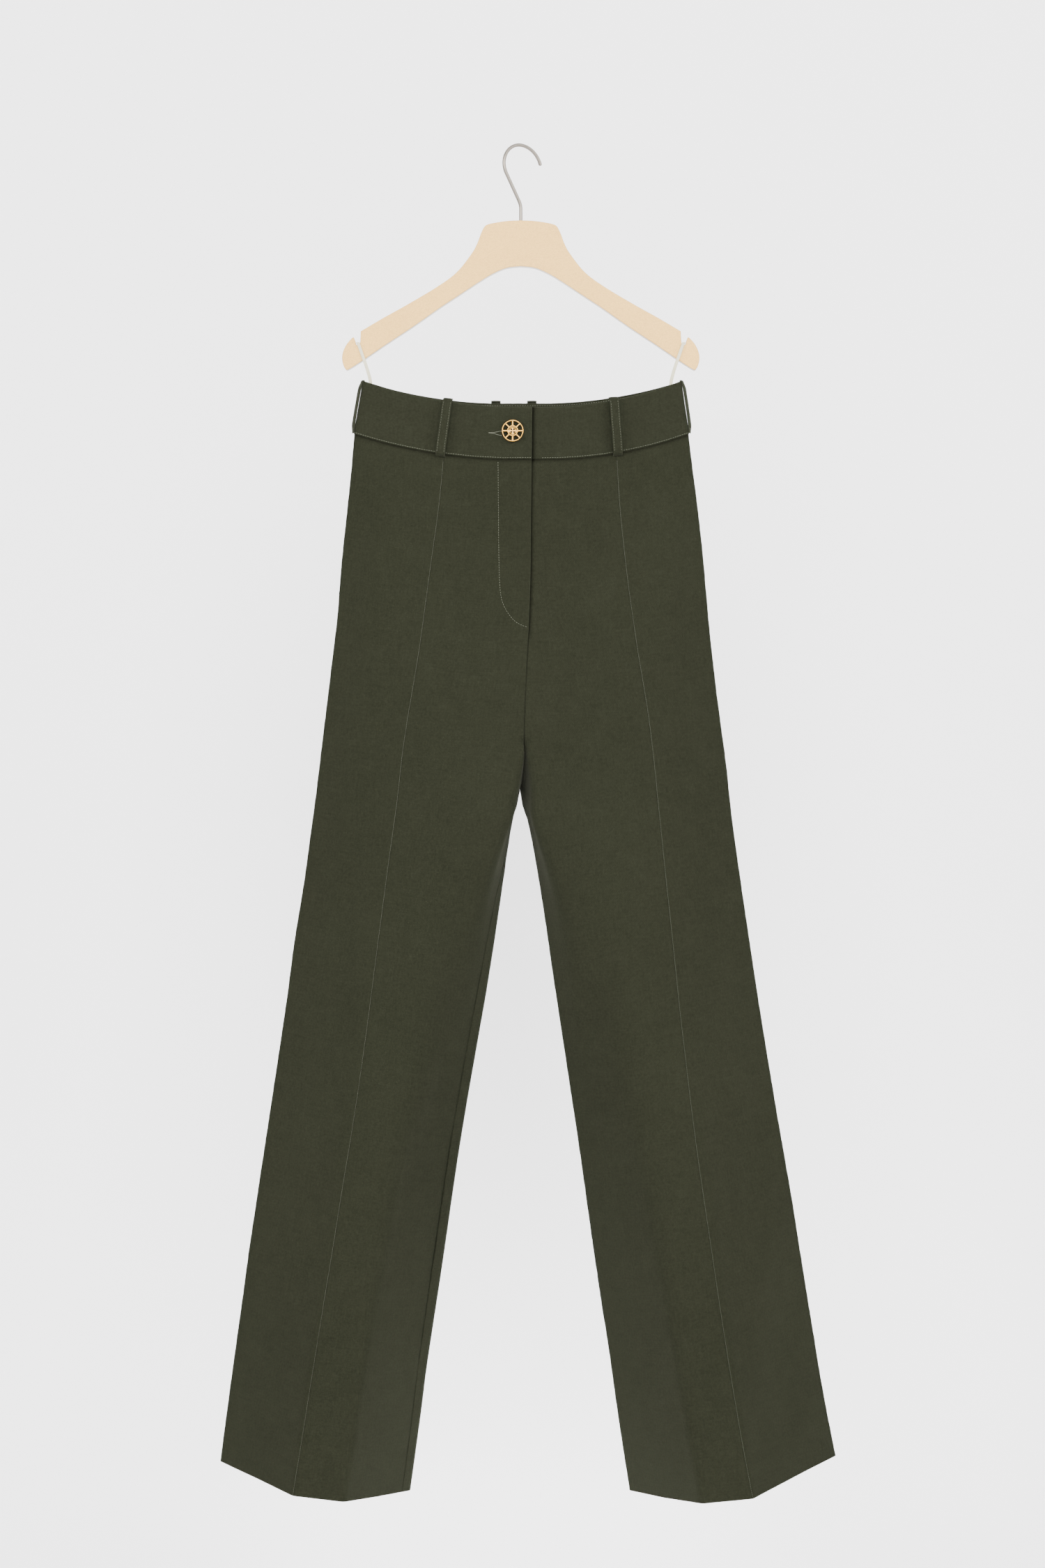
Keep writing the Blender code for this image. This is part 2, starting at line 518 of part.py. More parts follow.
def build_panels(half, cloth, group):
    """Inner front, outer front and back of one half, as three walls."""
    places = row_places()
    grid = half.grid(places)
    grid[0, :, 2] -= SEAM_GAP
    normals = half.outward(grid, places)
    outer = sink_under_fly(half, grid, places, normals)
    inner = outer - normals * CLOTH
    front = sum(half.FRONT_COLUMNS)
    seam = front - half.FRONT_COLUMNS[0]
    mouth = np.clip((places - POCKET_ROWS[0]) / (POCKET_ROWS[1] - POCKET_ROWS[0]), 0.0, 1.0)
    gape = TRIM + POCKET_GAPE[half.leg] * np.sin(math.pi * mouth)**0.5
    whole = np.full(len(places), TRIM)
    for name, start, stop, first, last in (
            ("front_inner", 0, seam, whole, whole),
            ("front_outer", seam, front, whole, gape),
            ("back", front, outer.shape[1] - 1, whole, whole)):
        piece_outer = outer[:, start:stop + 1].copy()
        piece_inner = inner[:, start:stop + 1].copy()
        inset_columns(piece_outer, piece_inner, first, last)
        wall(f"{name}_{half.leg}", piece_outer, piece_inner, cloth, group)


def sink_under_fly(half, grid, places, normals):
    """The right front's edge lies one cloth lower than the left front's along the fly."""
    if half.leg == "left":
        return grid
    edge = grid[:, :1]
    away = np.linalg.norm(grid - edge, axis=2)
    near = 1.0 - smooth_step(away / FLY_EASE)
    fade = 1.0 - smooth_step((places - FLY_END) / 0.8)
    near[:, sum(half.FRONT_COLUMNS):] = 0.0
    return grid - normals * (FLY_SET_IN * near * fade[:, None])[..., None]


# ---------------------------------------------------------------- waistband
BAND_PLACES = np.array((0.0, 0.34, 0.67, 1.0))


def build_band(halves, cloth, group):
    """Both halves of the waistband; the right one runs on under the left one's end."""
    grids = {}
    outs = {}
    for half in halves:
        grids[half.leg] = half.grid(BAND_PLACES)
        outs[half.leg] = half.outward(grids[half.leg], BAND_PLACES)
    left = grids["left"] + outs["left"] * BAND_PROUD
    left_inner = left - outs["left"] * BAND_WALL
    inset_columns(left, left_inner, np.full(4, TRIM), np.full(4, TRIM))
    wall("waistband_left", left, left_inner, cloth, group)

    under = sum(1 for far in lengths_along(grids["left"][-1]) if far < UNDERLAP)
    under_grid = grids["left"][:, 1:under + 1][:, ::-1]
    under_out = outs["left"][:, 1:under + 1][:, ::-1]
    grid = np.concatenate((under_grid, grids["right"]), axis=1)
    out = np.concatenate((under_out, outs["right"]), axis=1)
    away = np.linalg.norm(grid - grids["right"][:, :1], axis=2)
    sunk = 1.0 - smooth_step((away - 3.0) / OVERLAP_EASE)
    sunk[:, :under] = 1.0
    sunk[:, under + sum(halves[1].FRONT_COLUMNS):] = 0.0
    right = grid + out * (BAND_PROUD - UNDERLAP_SET_IN * sunk)[..., None]
    right_inner = right - out * BAND_WALL
    inset_columns(right, right_inner, np.full(4, TRIM), np.full(4, TRIM))
    wall("waistband_right", right, right_inner, cloth, group)


def band_line(half, face, across, at):
    """Point and outward normal on the waistband's outer face, at a share up the band."""
    ahead, _, behind, _ = half.section(1.0 - at)
    path = ahead if face == "front" else behind
    run = lengths_along(path)
    distance = np.interp(-across, -path[:, 0], run)
    near = Half._read(path, [distance - 2.0, distance, distance + 2.0])
    step = near[2] - near[0]
    normal = np.array((step[1], -step[0], 0.0))
    normal /= np.linalg.norm(normal)
    if (face == "front") != (normal[1] < 0):
        normal = -normal
    point = half.to_world(near[1])
    return point, np.array((half.sign * normal[0], normal[1], 0.0))


# ---------------------------------------------------------------- belt loops
LOOP_STEPS = 13
LOOP_FLATNESS = 8                 # power of the loop's rise: the higher, the squarer its ends


def loop_rise(share, gap):
    """How far a loop stands off the band: quickly up, level, quickly back."""
    return SEAM_GAP + gap * (1.0 - np.abs(2.0 * share - 1.0)**LOOP_FLATNESS)**0.5


def build_loop(name, centres, normals, gap, cloth, group):
    """A strip along the given centre line, standing off it and returning at both ends."""
    share = np.linspace(0.0, 1.0, len(centres))
    rise = loop_rise(share, gap)[:, None]
    middle = centres + normals * rise
    along = np.gradient(middle, axis=0)
    along /= np.linalg.norm(along, axis=1, keepdims=True)
    across = np.cross(along, normals)
    across /= np.linalg.norm(across, axis=1, keepdims=True)
    proud = np.cross(across, along)
    proud *= np.sign(np.sum(proud * normals, axis=1))[:, None]
    widths = np.array((-0.5, 0.0, 0.5)) * LOOP_WIDTH
    under = np.stack([middle + across * width for width in widths], axis=1)
    over = under + proud[:, None] * LOOP_WALL
    wall(name, over, under, cloth, group)


def build_loops(bands, cloth, group):
    """Two loops at the front, two at the back and one at each side."""
    spots = np.linspace(LOOP_SPAN[1], LOOP_SPAN[0], LOOP_STEPS)
    by_leg = {band.leg: band for band in bands}
    for name, (leg, face, low, high) in LOOP_PLACES.items():
        found = [band_line(by_leg[leg], face, low + (high - low) * at, np.clip(at, 0.0, 1.0)) for at in spots]
        centres = np.array([point for point, _ in found])
        normals = np.array([normal for _, normal in found])
        normals[:] = normals.mean(axis=0) / np.linalg.norm(normals.mean(axis=0))
        step = (centres[3] - centres[-4]) / (spots[3] - spots[-4])
        centres = centres + step * (spots - np.clip(spots, 0.0, 1.0))[:, None]
        centres = centres + normals * (BAND_PROUD + 0.15)
        build_loop(name, centres, normals, LOOP_GAP, cloth, group)
    for band in bands:
        normals = np.tile((band.sign, 0.0, 0.0), (LOOP_STEPS, 1))
        top = np.array((band.sign * band.reach[0][0], 0.0, -band.forms[0][0]))
        bottom = np.array((band.sign * band.reach[1][0], 0.0, -band.forms[1][0]))
        centres = bottom + (top - bottom) * spots[:, None] + normals * (BAND_PROUD + 0.15)
        build_loop(f"loop_side_{band.leg}", centres, normals, SIDE_LOOP_GAP, cloth, group)


# ---------------------------------------------------------------- what lies behind the fly, and the pockets
def front_strip(name, halves, places, reach, columns, depth, thick, finish, group):
    """Strip behind the fronts at the fly: the fronts' own points, moved in."""
    rows = []
    for place in places:
        sections = {half.leg: half.section(place)[0] for half in halves}
        meet = -sections["left"][-1][0]
        row = []
        for x in meet + np.linspace(reach[0], reach[1], columns):
            leg = "left" if x < meet else "right"
            path = sections[leg]
            sign = -1.0 if leg == "left" else 1.0
            far = sign * x
            row.append((x, np.interp(-far, -path[:, 0], path[:, 1]), -np.interp(-far, -path[:, 0], path[:, 2])))
        rows.append(row)
    face = np.array(rows)
    face[..., 1] += depth
    back = face.copy()
    back[..., 1] += thick
    wall(name, face, back, finish, group)


def build_bag(half, cloth, group):
    """The plain pocket layer behind the outer front, from the mouth inwards."""
    places = np.linspace(BAG_ROWS[0], BAG_ROWS[1], 8)
    distances = np.linspace(BAG_REACH[0], BAG_REACH[1], 6)
    rows = np.array([half._read(half.section(place)[0], distances) for place in places])
    grid = half.to_world(rows)
    normals = normals_of(grid) * half.sign
    outer = grid - normals * (CLOTH + BAG_DEPTH)
    wall(f"pocket_bag_{half.leg}", outer, outer - normals * BAG_WALL, cloth, group)


# ---------------------------------------------------------------- button
def turned(name, profile, steps, finish, group):
    """A profile of (radius, height) turned about Z with a Screw modifier, standing at the origin."""
    mesh = bpy.data.meshes.new(name)
    points = [(radius * MM, 0.0, height * MM) for radius, height in profile]
    loop = [(index, (index + 1) % len(points)) for index in range(len(points))]
    mesh.from_pydata(points, loop, [])
    made = bpy.data.objects.new(name, mesh)
    made.data.materials.append(finish)
    group.objects.link(made)
    screw = made.modifiers.new("turn", "SCREW")
    screw.steps = steps
    screw.render_steps = steps
    screw.use_merge_vertices = True
    screw.merge_threshold = 0.00001
    screw.use_normal_calculate = True
    return made


def make_solid(made):
    """Replace an object's mesh by its evaluated one."""
    evaluated = made.evaluated_get(bpy.context.evaluated_depsgraph_get())
    mesh = bpy.data.meshes.new_from_object(evaluated)
    shape = bmesh.new()
    shape.from_mesh(mesh)
    bmesh.ops.remove_doubles(shape, verts=shape.verts, dist=0.00001)
    bmesh.ops.recalc_face_normals(shape, faces=shape.faces)
    shape.to_mesh(mesh)
    shape.free()
    made.modifiers.clear()
    made.data = mesh


def build_button(bands, gold, thread, group, cutters):
    """Openwork button: rim and hub joined by plain spokes, on a post of thread."""
    left = bands[0]
    point, _ = band_line(left, "front", -BUTTON_AT[0], 0.45)
    seat = point[1] - BAND_PROUD
    middle = Vector((BUTTON_AT[0], seat - BUTTON_PROUD, BUTTON_AT[1])) * MM
    face = Matrix.Translation(middle) @ Matrix.Rotation(QUARTER_TURN, 4, "X")

    button = turned("button", BUTTON_PROFILE, BUTTON_STEPS, gold, group)
    make_solid(button)
    cuts = []
    slot_middle = (BUTTON_HUB + BUTTON_RADIUS - BUTTON_RIM) / 2.0 + 0.2
    for index in range(BUTTON_SPOKES):
        turn = 2.0 * math.pi * (index + 0.5) / BUTTON_SPOKES
        bpy.ops.mesh.primitive_cylinder_add(vertices=10, radius=SLOT_RADIUS * MM, depth=12 * MM)
        slot = bpy.context.active_object
        slot.scale = (*SLOT_STRETCH, 1.0)
        slot.location = (slot_middle * MM * math.cos(turn), slot_middle * MM * math.sin(turn), 0.0)
        slot.rotation_euler = (0.0, 0.0, turn)
        cuts.append(slot)
    for index in range(THREAD_HOLES):
        turn = 2.0 * math.pi * (index + 0.5) / THREAD_HOLES
        bpy.ops.mesh.primitive_cylinder_add(vertices=8, radius=THREAD_HOLE_RADIUS * MM, depth=12 * MM)
        hole = bpy.context.active_object
        hole.location = (THREAD_HOLE_RING * MM * math.cos(turn), THREAD_HOLE_RING * MM * math.sin(turn), 0.0)
        cuts.append(hole)
    for index, cut in enumerate(cuts):
        cut.name = f"button_cut_{index:02d}"
        cut.matrix_world = face @ cut.matrix_basis
        cut.hide_render = True
        cut.display_type = "WIRE"
        for holder in list(cut.users_collection):
            holder.objects.unlink(cut)
        cutters.objects.link(cut)
        boolean = button.modifiers.new(f"cut_{index:02d}", "BOOLEAN")
        boolean.operation = "DIFFERENCE"
        boolean.solver = "EXACT"
        boolean.object = cut
    button.matrix_world = face
    bpy.context.view_layer.update()

    post_top = BUTTON_PROUD - SEAM_GAP
    profile = ((POST_RADIUS[0], post_top), (POST_RADIUS[1], SEAM_GAP), (0.0001, SEAM_GAP), (0.0001, post_top))
    post = turned("button_thread_post", profile, POST_STEPS, thread, group)
    post.matrix_world = Matrix.Translation(Vector((BUTTON_AT[0], seat, BUTTON_AT[1])) * MM) @ \
        Matrix.Rotation(QUARTER_TURN, 4, "X")
    make_solid(post)
    button.data.shade_smooth()
    button.data.set_sharp_from_angle(angle=math.radians(35))


# ---------------------------------------------------------------- hanger
def soft_run(corners, per_span):
    """Smooth run through corners, without its last point."""
    line = np.array(corners, dtype=float)
    places = np.linspace(0.0, len(line) - 1.0, (len(line) - 1) * per_span + 1)
    return curve_through(line, places)[:-1]


def board_outline():
    """The whole outline, as (x, z), anticlockwise seen from the front."""
    half = np.vstack((soft_run(SHOULDER, 2), soft_run((SHOULDER[-1],) + NOTCH, 1),
                      soft_run((NOTCH[-1],) + TIP, 1), soft_run((TIP[-1],) + UNDERSIDE, 2),
                      [UNDERSIDE[-1]]))
    right = [(BOARD_AXIS + across, -down) for across, down in half]
    left = [(BOARD_AXIS - across, -down) for across, down in half[1:-1]]
    return right + left[::-1]


def build_board(wood, group, cutters):
    """Flat board, cut to its outline, with broken edges and a socket for the hook."""
    outline = board_outline()
    curve = bpy.data.curves.new("board_outline", "CURVE")
    curve.dimensions = "2D"
    curve.fill_mode = "BOTH"
    curve.extrude = BOARD_THICK / 2.0 * MM
    spline = curve.splines.new("POLY")
    spline.points.add(len(outline) - 1)
    for point, (x, z) in zip(spline.points, outline):
        point.co = (x * MM, z * MM, 0.0, 1.0)
    spline.use_cyclic_u = True
    flat = bpy.data.objects.new("board_flat", curve)
    flat.matrix_world = Matrix.Rotation(QUARTER_TURN, 4, "X")
    group.objects.link(flat)
    bpy.context.view_layer.update()

    evaluated = flat.evaluated_get(bpy.context.evaluated_depsgraph_get())
    mesh = bpy.data.meshes.new_from_object(evaluated)
    shape = bmesh.new()
    shape.from_mesh(mesh)
    bmesh.ops.remove_doubles(shape, verts=shape.verts, dist=0.00002)
    bmesh.ops.recalc_face_normals(shape, faces=shape.faces)
    shape.to_mesh(mesh)
    shape.free()
    board = bpy.data.objects.new("hanger_board", mesh)
    board.matrix_world = flat.matrix_world
    bpy.data.objects.remove(flat)
    mesh.materials.clear()
    mesh.materials.append(wood)
    group.objects.link(board)

    edge = board.modifiers.new("broken_edge", "BEVEL")
    edge.width = BOARD_EDGE * MM
    edge.segments = 1
    edge.limit_method = "ANGLE"
    edge.angle_limit = math.radians(60)
    bpy.ops.mesh.primitive_cylinder_add(vertices=16, radius=SOCKET_RADIUS * MM, depth=2 * SOCKET_DEPTH * MM)
    socket = bpy.context.active_object
    socket.name = "socket_cut"
    socket.location = Vector((BOARD_AXIS, 0.0, -SHOULDER[0].down)) * MM
    socket.hide_render = True
    socket.display_type = "WIRE"
    for holder in list(socket.users_collection):
        holder.objects.unlink(socket)
    cutters.objects.link(socket)
    boolean = board.modifiers.new("socket", "BOOLEAN")
    boolean.operation = "DIFFERENCE"
    boolean.solver = "EXACT"
    boolean.object = socket
    mesh.shade_smooth()
    mesh.set_sharp_from_angle(angle=math.radians(30))


def hook_route():
    """Centre line of the hook in its own plane, as (outwards, down), from the stem's foot to the end."""
    crest = -WIRE_RADIUS
    neck = math.radians(HOOK_NECK_ANGLE)
    leave = np.array((-HOOK_BEND * math.cos(neck), crest + HOOK_BEND + HOOK_BEND * math.sin(neck)))
    slope = np.array((math.sin(neck), math.cos(neck)))
    axis_at = leave + slope * (-leave[0] / slope[0])
    tangent = HOOK_NECK_BEND * math.tan(neck / 2.0)
    foot = SHOULDER[0].down + SOCKET_DEPTH - 1.5
    route = [(0.0, foot), (0.0, (foot + axis_at[1] + tangent) / 2.0)]
    for share in np.linspace(0.0, 1.0, 6):
        angle = neck * share
        route.append((-HOOK_NECK_BEND * (1.0 - math.cos(angle)),
                      axis_at[1] + tangent - HOOK_NECK_BEND * math.sin(angle)))
    for angle in np.linspace(-HOOK_NECK_ANGLE, 90.0, 16):
        turn = math.radians(angle)
        route.append((-HOOK_BEND * math.cos(turn), crest + HOOK_BEND - HOOK_BEND * math.sin(turn)))
    for angle in np.linspace(0.0, HOOK_END_ANGLE, 11)[1:]:
        turn = math.radians(angle)
        route.append((HOOK_OPEN_BEND * math.sin(turn), crest + HOOK_OPEN_BEND * (1.0 - math.cos(turn))))
    return route


def build_hook(steel, group):
    """Round wire hook, swivelled in its socket."""
    curve = bpy.data.curves.new("hook", "CURVE")
    curve.dimensions = "3D"
    curve.bevel_depth = WIRE_RADIUS * MM
    curve.bevel_resolution = 1
    curve.use_fill_caps = True
    spline = curve.splines.new("POLY")
    route = hook_route()
    spline.points.add(len(route) - 1)
    for point, (outwards, down) in zip(spline.points, route):
        point.co = (outwards * MM, 0.0, -down * MM, 1.0)
    hook = bpy.data.objects.new("hook", curve)
    hook.data.materials.append(steel)
    hook.location = (BOARD_AXIS * MM, 0.0, 0.0)
    hook.rotation_euler = (0.0, 0.0, math.radians(HOOK_TURN))
    group.objects.link(hook)


def build_ribbon(leg, ribbon, group):
    """Ribbon loop: out of the waist, up the board's face, through the notch and down behind."""
    sign = -1.0 if leg == "left" else 1.0
    front = np.array(RIBBON_FRONT, dtype=float)
    behind = front[::-1] * (1.0, -1.0, 1.0)
    line = np.vstack((front, behind))
    places = np.linspace(0.0, len(line) - 1.0, RIBBON_STEPS)
    line = curve_through(line, places)
    middle = np.column_stack((sign * line[:, 0] + BOARD_AXIS, -line[:, 1], -line[:, 2]))
    along = np.gradient(middle, axis=0)
    along /= np.linalg.norm(along, axis=1, keepdims=True)
    across = np.tile((1.0, 0.0, 0.0), (len(middle), 1))
    across -= along * np.sum(across * along, axis=1, keepdims=True)
    across /= np.linalg.norm(across, axis=1, keepdims=True)
    proud = np.cross(along, across)
    under = np.stack([middle + across * width for width in (-RIBBON_WIDTH / 2.0, RIBBON_WIDTH / 2.0)], axis=1)
    wall(f"hanging_ribbon_{leg}", under + proud[:, None] * RIBBON_WALL / 2.0,
         under - proud[:, None] * RIBBON_WALL / 2.0, ribbon, group)


# ---------------------------------------------------------------- all together
def main():
    for old in list(bpy.data.objects):
        bpy.data.objects.remove(old)
    parts = collection("flared_trousers_on_hanger")
    cutters = collection("cutters")
    cloth = material("olive_gabardine", (0.055, 0.056, 0.034), 0.85)
    band_cloth = material("olive_gabardine_band", (0.062, 0.062, 0.037), 0.85)
    pocket_cloth = material("pocket_cloth", (0.060, 0.060, 0.040), 0.9)
    tape = material("zip_tape", (0.045, 0.046, 0.030), 0.8)
    gold = material("gold_metal", (0.83, 0.60, 0.25), 0.25, 1.0)
    thread = material("button_thread", (0.05, 0.05, 0.032), 0.9)
    wood = material("pale_fibreboard", (0.80, 0.67, 0.50), 0.65)
    steel = material("brushed_steel", (0.62, 0.60, 0.57), 0.35, 1.0)
    ribbon = material("cream_ribbon", (0.72, 0.72, 0.58), 0.6)

    halves = (Half("left"), Half("right"))
    for half in halves:
        build_panels(half, cloth, parts)
        build_bag(half, pocket_cloth, parts)
    bands = (Half("left", with_band=True), Half("right", with_band=True))
    build_band(bands, band_cloth, parts)
    build_loops(bands, band_cloth, parts)

    fly_places = np.linspace(0.03, FLY_END, 9)
    front_strip("fly_zip", halves, fly_places, ZIP_REACH, 4, ZIP_DEPTH, ZIP_WALL, tape, parts)
    front_strip("fly_shield", halves, fly_places, SHIELD_REACH, 7, SHIELD_DEPTH, SHIELD_WALL, cloth, parts)

    build_button(bands, gold, thread, parts, cutters)
    build_board(wood, parts, cutters)
    build_hook(steel, parts)
    for leg in ("left", "right"):
        build_ribbon(leg, ribbon, parts)


main()
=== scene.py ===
"""Looks of flared trousers that hang by two ribbon loops from a flat wooden hanger.

The cloth is built again as thin shells on the same sections as the solids, but closely spaced, with
rolled edges, seams, soft folds and real stitches. Tables and sizes are in millimetres in the row
frame: +X is the viewer's right, -Y the front, +Z up, and "down" is a distance below the hook's crest.
"Left" and "right" are the viewer's.
"""
import logging
import math
from dataclasses import dataclass
from enum import Enum
from typing import Sequence

import bmesh
import bpy
import numpy as np
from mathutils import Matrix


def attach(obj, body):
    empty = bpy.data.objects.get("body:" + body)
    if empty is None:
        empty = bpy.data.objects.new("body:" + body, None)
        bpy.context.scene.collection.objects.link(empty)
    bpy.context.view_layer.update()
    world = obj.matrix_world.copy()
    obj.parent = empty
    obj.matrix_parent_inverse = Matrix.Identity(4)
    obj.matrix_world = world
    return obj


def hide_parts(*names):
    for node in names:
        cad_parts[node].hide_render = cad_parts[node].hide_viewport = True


Array = np.ndarray
Material = bpy.types.Material
Node = bpy.types.Node
Piece = bpy.types.Object
Socket = bpy.types.NodeSocket
Pair = tuple[float, float]
Triple = tuple[float, float, float]

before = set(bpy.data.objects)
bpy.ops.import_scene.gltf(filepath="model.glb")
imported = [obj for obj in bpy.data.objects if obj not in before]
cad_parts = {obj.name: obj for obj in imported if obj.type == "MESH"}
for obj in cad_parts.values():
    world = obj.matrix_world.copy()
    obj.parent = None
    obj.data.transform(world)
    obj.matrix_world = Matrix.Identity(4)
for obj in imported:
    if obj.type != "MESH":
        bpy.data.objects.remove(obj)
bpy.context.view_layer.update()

LOG = logging.getLogger("trousers")
MM = 0.001
SEAM_GAP = 0.3
SEAM_TRIM = SEAM_GAP / 5.0
CLOTH = 1.0
BAND_WALL = 2.2
BAND_PROUD = 0.8
TOPSTITCH_PITCH = 2.6
WAIST_DOWN = 302.0
BUTTON_X = -8.1
BUTTON_Z = -302.7


class Side(Enum):
    """One half of the trousers, as the viewer sees it."""

    LEFT = "left"
    RIGHT = "right"

    @property
    def sign(self) -> float:
        """Direction of this half along X."""
        return -1.0 if self is Side.LEFT else 1.0


class Face(Enum):
    """Front or back of the trousers."""

    FRONT = "front"
    BACK = "back"

    @property
    def sign(self) -> float:
        """Direction of this face along Y."""
        return -1.0 if self is Face.FRONT else 1.0


class Stretch(Enum):
    """The cut pieces of one half, each a stretch of its sections."""

    FRONT_INNER = "front_inner"
    FRONT_OUTER = "front_outer"
    BACK = "back"


# One row for each section from the waist seam to the hem: side_down, meet_down, roll_down, aft_down,
# aft_roll_down, meet_y, aft_y, front, back, box, roll_cut, sag, soft.
SECTIONS = np.array((
    (302, 332, 332, 324, 324, -24, 22, 24, 22, 0.00, 30, 0.85, 1.00),
    (360, 388, 388, 382, 382, -27, 30, 27, 31, 0.00, 30, 0.85, 0.98),
    (433, 460, 460, 455, 455, -31, 41, 31, 42, 0.00, 30, 0.80, 0.95),
    (507, 530, 530, 525, 525, -36, 51, 36, 53, 0.00, 30, 0.70, 0.90),
    (560, 580, 580, 580, 580, -40, 56, 40, 60, 0.00, 26, 0.60, 0.85),
    (590, 606, 606, 615, 612, -41, 57, 42, 63, 0.50, 15, 0.50, 0.80),
    (612, 637, 633, 639, 635, -33, 52, 43, 65, 1.00, 9, 0.40, 0.77),
    (632, 658, 660, 659, 661, -15, 45, 44, 65, 1.00, 9, 0.30, 0.74),
    (650, 670, 684, 671, 684, 8, 38, 45, 65, 1.00, 9, 0.20, 0.71),
    (668, 676, 707, 676, 707, 30, 30, 46, 65, 1.00, 9, 0.10, 0.68),
    (705, 724, 735, 724, 735, 18, 18, 48, 65, 0.80, 10, 0.00, 0.62),
    (764, 790, 790, 790, 790, 6, 6, 50, 64, 0.50, 12, 0.00, 0.52),
    (838, 866, 866, 866, 866, 0, 0, 53, 63, 0.25, 20, 0.00, 0.42),
    (911, 940, 940, 940, 940, 0, 0, 57, 63, 0.10, 20, 0.00, 0.33),
    (1021, 1051, 1051, 1051, 1051, 0, 0, 65, 67, 0.00, 20, 0.00, 0.22),
    (1132, 1162, 1162, 1162, 1162, 0, 0, 74, 73, 0.00, 20, 0.00, 0.14),
    (1242, 1272, 1270, 1272, 1272, 0, 0, 84, 80, 0.00, 20, 0.00, 0.08),
    (1315, 1345, 1341.5, 1345, 1345, 0, 0, 90, 84, 0.00, 20, 0.00, 0.04),
    (1386, 1417, 1412, 1417, 1417, 0, 0, 95, 87, 0.00, 20, 0.00, 0.00),
), dtype=float)
FORK = 9     # the row where the two legs part
HEM_SPAN = (700.0, 686.0)     # where a leg's own depth gain begins, and the distance to its full value

# Distance outwards from the hook's axis of each section's side edge, long front seam, inner roll,
# front meeting line and back meeting line.
REACH = {
    Side.LEFT: np.array((
        (175.0, 80.1, -12.0, -12.0, 7.0), (180.2, 85.7, -11.2, -11.2, 6.0), (188.2, 95.3, -10.5, -10.5, 4.5),
        (194.2, 104.6, -7.8, -7.8, 3.0), (200.5, 112.5, -5.3, -5.3, 1.5), (204.1, 117.0, -4.3, -4.3, 0.5),
        (206.8, 120.6, -3.7, -3.9, -0.8), (209.2, 123.6, -1.2, -2.9, -1.2), (211.3, 125.9, 3.3, -1.6, -0.2),
        (213.5, 128.0, 7.5, 1.0, 1.0), (218.2, 132.3, 11.6, 10.5, 10.5), (226.5, 140.2, *3 * (20.3,)),
        (238.0, 150.0, *3 * (31.8,)), (248.2, 159.2, *3 * (44.5,)), (264.8, 175.0, *3 * (63.6,)),
        (281.6, 192.7, *3 * (80.7,)), (297.1, 210.2, *3 * (96.9,)), (307.2, 221.5, *3 * (106.3,)),
        (316.5, 232.8, *3 * (116.2,))), dtype=float),
    Side.RIGHT: np.array((
        (177.2, 100.8, 12.0, 12.0, -7.0), (183.8, 104.2, 11.2, 11.2, -6.0), (192.4, 111.5, 10.5, 10.5, -4.5),
        (199.2, 121.0, 7.8, 7.8, -3.0), (205.0, 129.0, 5.3, 5.3, -1.5), (208.7, 133.1, 4.5, 4.3, -0.5),
        (211.6, 136.2, 8.2, 3.9, 0.8), (214.1, 138.8, 10.8, 2.9, 1.2), (216.2, 140.9, 12.0, 1.6, 0.2),
        (218.3, 142.6, 12.1, -1.0, -1.0), (222.5, 146.0, 13.5, 10.5, 10.5), (230.5, 152.2, *3 * (22.1,)),
        (241.4, 159.7, *3 * (33.4,)), (252.4, 167.2, *3 * (44.5,)), (270.2, 180.2, *3 * (61.4,)),
        (288.8, 195.7, *3 * (77.8,)), (306.7, 211.4, *3 * (93.9,)), (318.8, 223.0, *3 * (104.1,)),
        (332.3, 236.2, *3 * (115.4,))), dtype=float),
}
BAND_TOP = np.array((246, 277, 277, 268, 268, -23, 19, 23, 20, 0.00, 30, 0.80, 1.00), dtype=float)
BAND_TOP_REACH = {Side.LEFT: np.array((165.4, 79.0, -12.5, -12.5, 7.0)),
                  Side.RIGHT: np.array((169.1, 97.0, 12.5, 12.5, -7.0))}
HEM_SIDE_DOWN = {Side.LEFT: 1386.0, Side.RIGHT: 1380.1}
DEPTH_GAIN = {Side.LEFT: (0.0, 0.0), Side.RIGHT: (0.13, 0.07)}
INSEAM_WRAP = {Side.LEFT: 16.0, Side.RIGHT: 0.0}


# ---- small mathematics
def smooth_step(value: Array) -> Array:
    """0 below 0, 1 above 1, and 3v^2 - 2v^3 between."""
    held = np.clip(value, 0.0, 1.0)
    return held * held * (3.0 - 2.0 * held)


def unit(vectors: Array) -> Array:
    """Vectors along the last axis, each divided by its own length."""
    return vectors / np.maximum(np.linalg.norm(vectors, axis=-1, keepdims=True), 1e-9)


def curve_through(values: Array, places: Sequence[float]) -> Array:
    """Cubic Hermite curve through rows at whole numbers, with slopes from the rows on either side.

    Args:
        values: one row for each whole number.
        places: where the curve is read.

    Returns:
        One row for each place.
    """
    values = np.asarray(values, dtype=float)
    places = np.clip(np.asarray(places, dtype=float), 0.0, len(values) - 1.0)
    low = np.minimum(places.astype(int), len(values) - 2)
    part = (places - low).reshape(-1, *([1] * (values.ndim - 1)))
    slope = np.gradient(values, axis=0)
    return ((2 * part**3 - 3 * part**2 + 1) * values[low] + (part**3 - 2 * part**2 + part) * slope[low]
            + (3 * part**2 - 2 * part**3) * values[low + 1] + (part**3 - part**2) * slope[low + 1])


def lengths_along(path: Array) -> Array:
    """Distance from the start to each point of a path."""
    return np.concatenate(([0.0], np.cumsum(np.linalg.norm(np.diff(path, axis=0), axis=1))))

